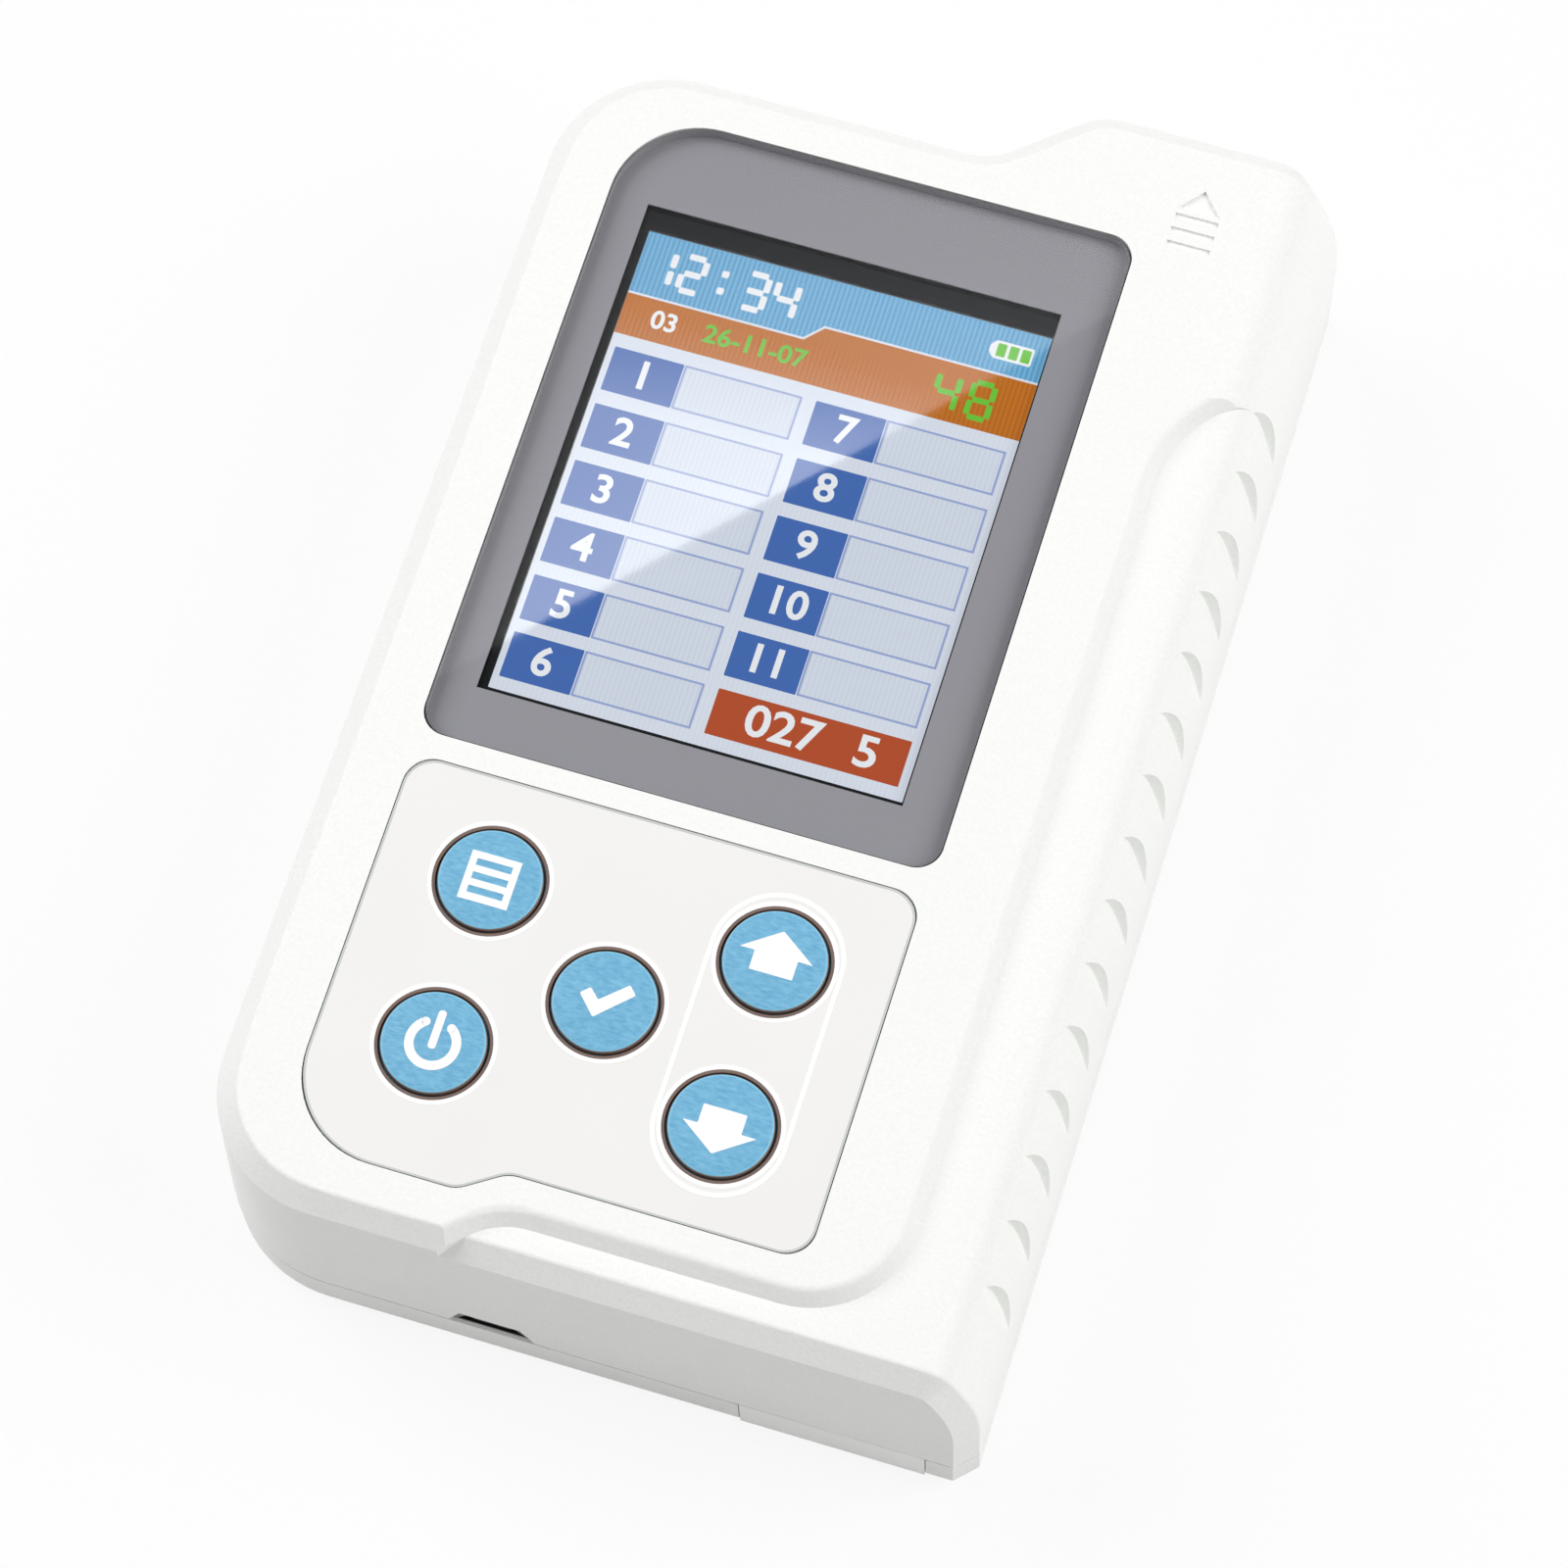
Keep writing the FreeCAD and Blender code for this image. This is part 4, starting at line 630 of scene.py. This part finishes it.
# Clock with its colon, and the count at the right of the band
clock = {"shows": "1234", "lefts": (-22.8, -19.85, -13.8, -10.9), "low": 32.8, "thick": 0.62,
         "colon": (-16.3, -15.6), "colonHeights": (33.75, 35.5), "colonHalf": 0.35, "colonRound": 0.2}
count = {"shows": "48", "lefts": (5.94, 9.22), "low": 28.1, "thick": 0.56}


def buildDigits():
    for name, digits, finish in (("clock_digits", clock, litWhite), ("count_digits", count, litGreen)):
        bm = bmesh.new()
        for digit, left in zip(digits["shows"], digits["lefts"]):
            barDigit(bm, digit, left, digits["low"], digits["thick"])
        for y in digits.get("colonHeights", ()):
            left, right = digits["colon"]
            dot = box(left, y - digits["colonHalf"], right, y + digits["colonHalf"])
            flatFace(bm, dot, digits["colonRound"], steps=3)
        screenPiece(name, bm, 2, finish)


# Battery sign with a knob at its left and three bars
batterySign = {
    "knob": 9.45, "left": 9.95, "right": 13.55, "low": 34.42, "high": 36.26, "knobLow": 35.0,
    "knobHigh": 35.7, "round": 0.2, "bars": (10.15, 11.32, 12.47), "barWide": 0.86, "barLow": 34.68,
    "barHigh": 36.0, "barRound": 0.08,
}


def buildBattery():
    b = batterySign
    body = [(b["knob"], b["knobLow"]), (b["left"], b["low"]), (b["right"], b["low"]), (b["right"], b["high"]),
            (b["left"], b["high"]), (b["knob"], b["knobHigh"])]
    screenFaces("battery_icon", [body], 2, litWhite, b["round"], steps=3)
    bars = [box(left, b["barLow"], left + b["barWide"], b["barHigh"]) for left in b["bars"]]
    screenFaces("battery_bars", bars, 3, litGreen, b["barRound"])


# The report's number and date in the band
report = {"number": "03", "numberX": -19.9, "numberBold": 0.06, "date": "26-11-07", "dateX": -11.2,
          "dateBold": 0.05, "dateSqueeze": 1.05, "y": 29.2, "height": 1.8}


def buildReport():
    r = report
    number = (r["number"], r["numberX"], r["y"], r["height"], r["numberBold"])
    date = (r["date"], r["dateX"], r["y"], r["height"], r["dateBold"], r["dateSqueeze"])
    screenWords("report_number", [number], litWhite)
    screenWords("report_date", [date], litGreen)


for build in (buildPage, buildCells, buildCounter, buildDigits, buildBattery, buildReport):
    build()
print("screen built")

# Print on the keys and the film, in mm: how thick it is and how far it is sunk, the rings, the loop and the
# border. The loop's corners stay loopSpare under half its width, so that they don't meet
keyPlaces = {key: middleOf("key_" + key) for key in ("menu", "power", "ok", "up", "down")}
ink = {
    "height": 0.035, "sunk": 0.012, "haloIn": 5.22, "haloOut": 5.62, "loopSide": 6.1, "loopPast": 0.35,
    "loopLine": 0.44, "loopSpare": 0.001, "borderLine": 0.2, "capSphere": 60.0, "slice": 0.45, "keyClear": 7,
    "speck": 0.2, "cloud": 2.5, "depth": 0.004,
}


def inkFinish(name, first, second):
    look = Finish(name)
    speck = look.noise(ink["speck"], 3.0)
    cloud = look.noise(ink["cloud"], 3.0)
    return look.skin({"Base Color": look.mix(cloud, first, second), "Roughness": speck * 0.15 + 0.35,
                      "Specular IOR Level": 0.4, "Normal": look.bump(speck, ink["depth"])})


whiteInk = inkFinish("whiteInk", rgb(250, 250, 249), rgb(254, 254, 253))
greyInk = inkFinish("greyInk", rgb(196, 199, 196), rgb(206, 208, 205))


def onDome(bm, place):  # slices a flat mark, thickens it and lays it on the crowned cap
    span = max(max(abs(v.co.x), abs(v.co.y)) for v in bm.verts) / mm
    cuts = int(span / ink["slice"]) + 1
    for number in range(-cuts, cuts + 1):
        for normal in ((1, 0, 0), (0, 1, 0)):
            at = Vector(normal) * number * ink["slice"] * mm
            bmesh.ops.bisect_plane(bm, geom=bm.verts[:] + bm.edges[:] + bm.faces[:], plane_co=at,
                                   plane_no=normal, dist=snap)
    thicken(bm, topOf("key_menu") - ink["sunk"], ink["height"])
    for v in bm.verts:
        v.co.z -= (v.co.x ** 2 + v.co.y ** 2) / (2 * ink["capSphere"] * mm)
    shifted(bm, *place)


# Menu: a frame with three gaps
menuSign = {"outer": 2.3, "inner": 1.64, "low": -2.42, "high": 2.2,
            "bars": ((-2.42, -1.72), (-1.06, -0.42), (0.24, 0.88), (1.54, 2.2))}


def menuMark(bm):
    outer, inner = menuSign["outer"], menuSign["inner"]
    for left, right in ((-outer, -inner), (inner, outer)):
        flatFace(bm, box(left, menuSign["low"], right, menuSign["high"]))
    for low, high in menuSign["bars"]:
        flatFace(bm, box(-inner, low, inner, high))
    bmesh.ops.remove_doubles(bm, verts=bm.verts[:], dist=weld)


# Power: an open ring with round ends, and a stem in the gap
powerSign = {"inner": 1.66, "outer": 2.5, "first": 125.0, "sweep": 290.0, "stemHalf": 0.36, "stemLow": -0.55,
             "stemHigh": 3.1, "stemRound": 0.3, "lower": 0.15}


def powerMark(bm):
    p = powerSign
    ringFace(bm, p["inner"], p["outer"], sides=60, first=p["first"], sweep=p["sweep"])
    middle, half = (p["outer"] + p["inner"]) / 2, (p["outer"] - p["inner"]) / 2
    for angle in (p["first"], p["first"] + p["sweep"]):
        turn = math.radians(angle)
        disc(bm, middle * math.cos(turn), middle * math.sin(turn), half, sides=20)
    flatFace(bm, box(-p["stemHalf"], p["stemLow"], p["stemHalf"], p["stemHigh"]), p["stemRound"], steps=5)
    shifted(bm, y=-p["lower"])


# Confirm: a tick
tickSign = {"corners": ((-2.3, 0.1), (-1.5, 0.85), (-0.55, -0.1), (1.75, 2.0), (2.5, 1.2), (-0.55, -1.75)),
            "round": 0.16}


def tickMark(bm):
    flatFace(bm, tickSign["corners"], tickSign["round"], steps=3)


# Up and down: a broad arrow
arrowSign = {"tip": 2.75, "wing": 3.35, "shoulder": 0.4, "shaft": 1.98, "foot": -1.42, "round": 0.1}


def arrowMark(bm, flip=1):
    a = arrowSign
    right = [(a["shaft"], a["foot"]), (a["shaft"], a["shoulder"]), (a["wing"], a["shoulder"])]
    left = [(-x, y) for x, y in reversed(right)]
    corners = [(0, a["tip"])] + left + right
    flatFace(bm, [(x, y * flip) for x, y in corners], a["round"], steps=3)


def downMark(bm):
    arrowMark(bm, -1)


def buildMarks():
    marks = {"menu": menuMark, "power": powerMark, "ok": tickMark, "up": arrowMark, "down": downMark}
    for key, mark in marks.items():
        bm = bmesh.new()
        mark(bm)
        onDome(bm, keyPlaces[key])
        newPiece(key + "_mark", bm, whiteInk, key + "_button")


# Rings round the keys and a loop round the two arrow keys, on the keypad film
def buildRings():
    low = topOf("keypad_panel") - ink["sunk"]
    for key, place in keyPlaces.items():
        bm = bmesh.new()
        ringFace(bm, ink["haloIn"], ink["haloOut"])
        shifted(bm, *place)
        thicken(bm, low, ink["height"])
        newPiece(key + "_halo", bm, whiteInk, "case")
    (x, high), half = keyPlaces["up"], ink["loopSide"]
    reach = half + ink["loopPast"]
    loop = box(x - half, keyPlaces["down"][1] - reach, x + half, high + reach)
    bm = bmesh.new()
    flatFace(bm, loop, half - ink["loopSpare"], steps=40)
    outline(bm, ink["loopLine"])
    thicken(bm, low, ink["height"])
    newPiece("arrow_loop", bm, whiteInk, "case")


def outsideKeys(edge):
    middle = (edge.verts[0].co + edge.verts[1].co) / 2 / mm
    return all((middle.xy - Vector(place)).length > ink["keyClear"] for place in keyPlaces.values())


# The thin grey line printed round the keypad film, from the film's own outline
def buildBorder():
    bm = bmesh.new()
    bm.from_mesh(nodes["keypad_panel"].data)
    bmesh.ops.remove_doubles(bm, verts=bm.verts[:], dist=weld)
    top = topOf("keypad_panel") * mm
    under = [face for face in bm.faces if face.calc_center_median().z < top - weld]
    bmesh.ops.delete(bm, geom=under, context="FACES")
    keep = {edge for edge in bm.edges if edge.is_boundary and outsideKeys(edge)}
    bmesh.ops.delete(bm, geom=bm.faces[:], context="FACES_ONLY")
    bmesh.ops.delete(bm, geom=[edge for edge in bm.edges if edge not in keep], context="EDGES")
    bmesh.ops.edgeloop_fill(bm, edges=bm.edges[:])
    outline(bm, ink["borderLine"])
    thicken(bm, -ink["sunk"], ink["height"])
    newPiece("panel_border", bm, greyInk, "case")


buildMarks()
buildRings()
buildBorder()
print("marks built")

# Studio, in metres, watts and degrees: a pale floor and a large soft lamp at each side
studio = {
    "worldLight": 0.28, "floorGlow": 0.87, "floorHalf": 4.0, "floorDrop": 0.00002,
    "lampWatts": 9.8, "lampReach": 1.2, "lampHeight": 43.0, "lampTurn": 12.0, "lampSize": 0.9,
}


# Paper that looks nearly white to the camera and in reflections, and still takes the object's shadow
def floorFinish():
    look = Finish("paleFloor")
    seen, glossy, through = [look.node("ShaderNodeLightPath", out=kind + " Ray")
                             for kind in ("Is Camera", "Is Glossy", "Is Transmission")]
    share = look.maths("MINIMUM", seen + glossy + through, 1.0) * studio["floorGlow"]
    tint = look.mix(look.noise(2, 3.0), (0.85, 0.85, 0.85, 1), (0.87, 0.87, 0.865, 1))
    dull = look.node("ShaderNodeBsdfDiffuse", {}, {"Color": tint})
    glow = look.node("ShaderNodeEmission", {}, {"Color": (1, 1, 1, 1), "Strength": 1.0})
    return look.shown(look.node("ShaderNodeMixShader", {}, {0: share, 1: dull, 2: glow}))


def buildFloor():
    bm = bmesh.new()
    bmesh.ops.create_grid(bm, x_segments=8, y_segments=8, size=studio["floorHalf"])
    bmesh.ops.translate(bm, verts=bm.verts[:], vec=(0, 0, -studio["floorDrop"]))
    mesh = bpy.data.meshes.new("floor")
    bm.to_mesh(mesh)
    bm.free()
    mesh.materials.append(floorFinish())
    floor = bpy.data.objects.new("floor", mesh)
    bpy.context.scene.collection.objects.link(floor)


def lamp(name, place, target, size, watts):
    light = bpy.data.lights.new(name, "AREA")
    light.shape, light.size, light.size_y = "RECTANGLE", size[0], size[1]
    light.energy = watts
    item = bpy.data.objects.new(name, light)
    bpy.context.scene.collection.objects.link(item)
    item.location = Vector(place)
    item.rotation_mode = "QUATERNION"
    item.rotation_quaternion = (Vector(target) - Vector(place)).to_track_quat("-Z", "Y")
    return item


def buildLamps():
    height, turn = math.radians(studio["lampHeight"]), math.radians(studio["lampTurn"])
    size = (studio["lampSize"], studio["lampSize"])
    for name, side in (("leftLamp", -1), ("rightLamp", 1)):
        towards = Vector((side * math.cos(turn) * math.cos(height), math.sin(turn) * math.cos(height),
                          math.sin(height)))
        lamp(name, towards * studio["lampReach"], (0, 0, 0), size, studio["lampWatts"])


buildFloor()
buildLamps()
world = bpy.data.worlds.new("studioAir")
bpy.context.scene.world = world
world.use_nodes = True
world.node_tree.nodes["Background"].inputs["Color"].default_value = (1, 1, 1, 1)
world.node_tree.nodes["Background"].inputs["Strength"].default_value = studio["worldLight"]

# The photograph's camera: place in mm, direction in degrees, lens and film width in mm, clipping in metres
photo = {"place": (69.04, -181.91, 493.74), "azimuth": 20.8, "elevation": 68.6, "roll": 3.8, "lens": 129.375,
         "film": 36.0, "near": 0.01, "far": 20}


def buildCamera():
    azimuth, elevation = math.radians(photo["azimuth"]), math.radians(photo["elevation"])
    back = Vector((math.sin(azimuth) * math.cos(elevation), -math.cos(azimuth) * math.cos(elevation),
                   math.sin(elevation)))
    right = (-back).cross(Vector((0, 0, 1))).normalized()
    down = (-back).cross(right)
    turn = math.radians(photo["roll"])
    across = right * math.cos(turn) + down * math.sin(turn)
    below = right * -math.sin(turn) + down * math.cos(turn)
    camera = bpy.data.cameras.new("photoCamera")
    camera.sensor_width, camera.lens = photo["film"], photo["lens"]
    camera.clip_start, camera.clip_end = photo["near"], photo["far"]
    viewer = bpy.data.objects.new("photoCamera", camera)
    bpy.context.scene.collection.objects.link(viewer)
    pose = Matrix((across, -below, back)).transposed().to_4x4()
    pose.translation = Vector(photo["place"]) * mm
    viewer.matrix_world = pose
    bpy.context.scene.camera = viewer


buildCamera()
bpy.context.scene.view_settings.view_transform = "Standard"

# A lit card for the lens alone, in metres and watts: its mirror image has one straight edge across the lens,
# between two points in mm, and it fades away from that edge
card = {"height": 0.9, "edge": ((-27.9, -10.6), (19.6, 41.1)), "long": 0.7, "deep": 0.13, "fade": 0.75,
        "watts": 1.2}


def buildCard():
    lensTop = topOf("screen_lens") * mm
    eye = Vector(photo["place"]) * mm
    mirrored = Vector((eye.x, eye.y, 2 * lensTop - eye.z))
    reach = (card["height"] - mirrored.z) / (lensTop - mirrored.z)
    first, last = [mirrored + (Vector((x * mm, y * mm, lensTop)) - mirrored) * reach for x, y in card["edge"]]
    along = (last - first).normalized()
    side = Vector((0, 0, 1)).cross(along)
    middle = (first + last) / 2 + side * card["deep"] / 2
    item = lamp("lensCard", middle, middle - Vector((0, 0, 1)), (card["long"], card["deep"]), card["watts"])
    item.matrix_world = Matrix((along, side, along.cross(side))).transposed().to_4x4()
    item.location = middle
    item.data.use_nodes = True
    light = Nodes(item.data.node_tree)
    across = light.part(light.node("ShaderNodeNewGeometry", out="Parametric"), "Y")
    light.tree.links.new((1 - across * card["fade"]).plug, light.tree.nodes["Emission"].inputs["Strength"])
    group = bpy.data.collections.new("lensOnly")
    group.objects.link(nodes["screen_lens"])
    item.light_linking.receiver_collection = group


buildCard()
print("studio and camera set")
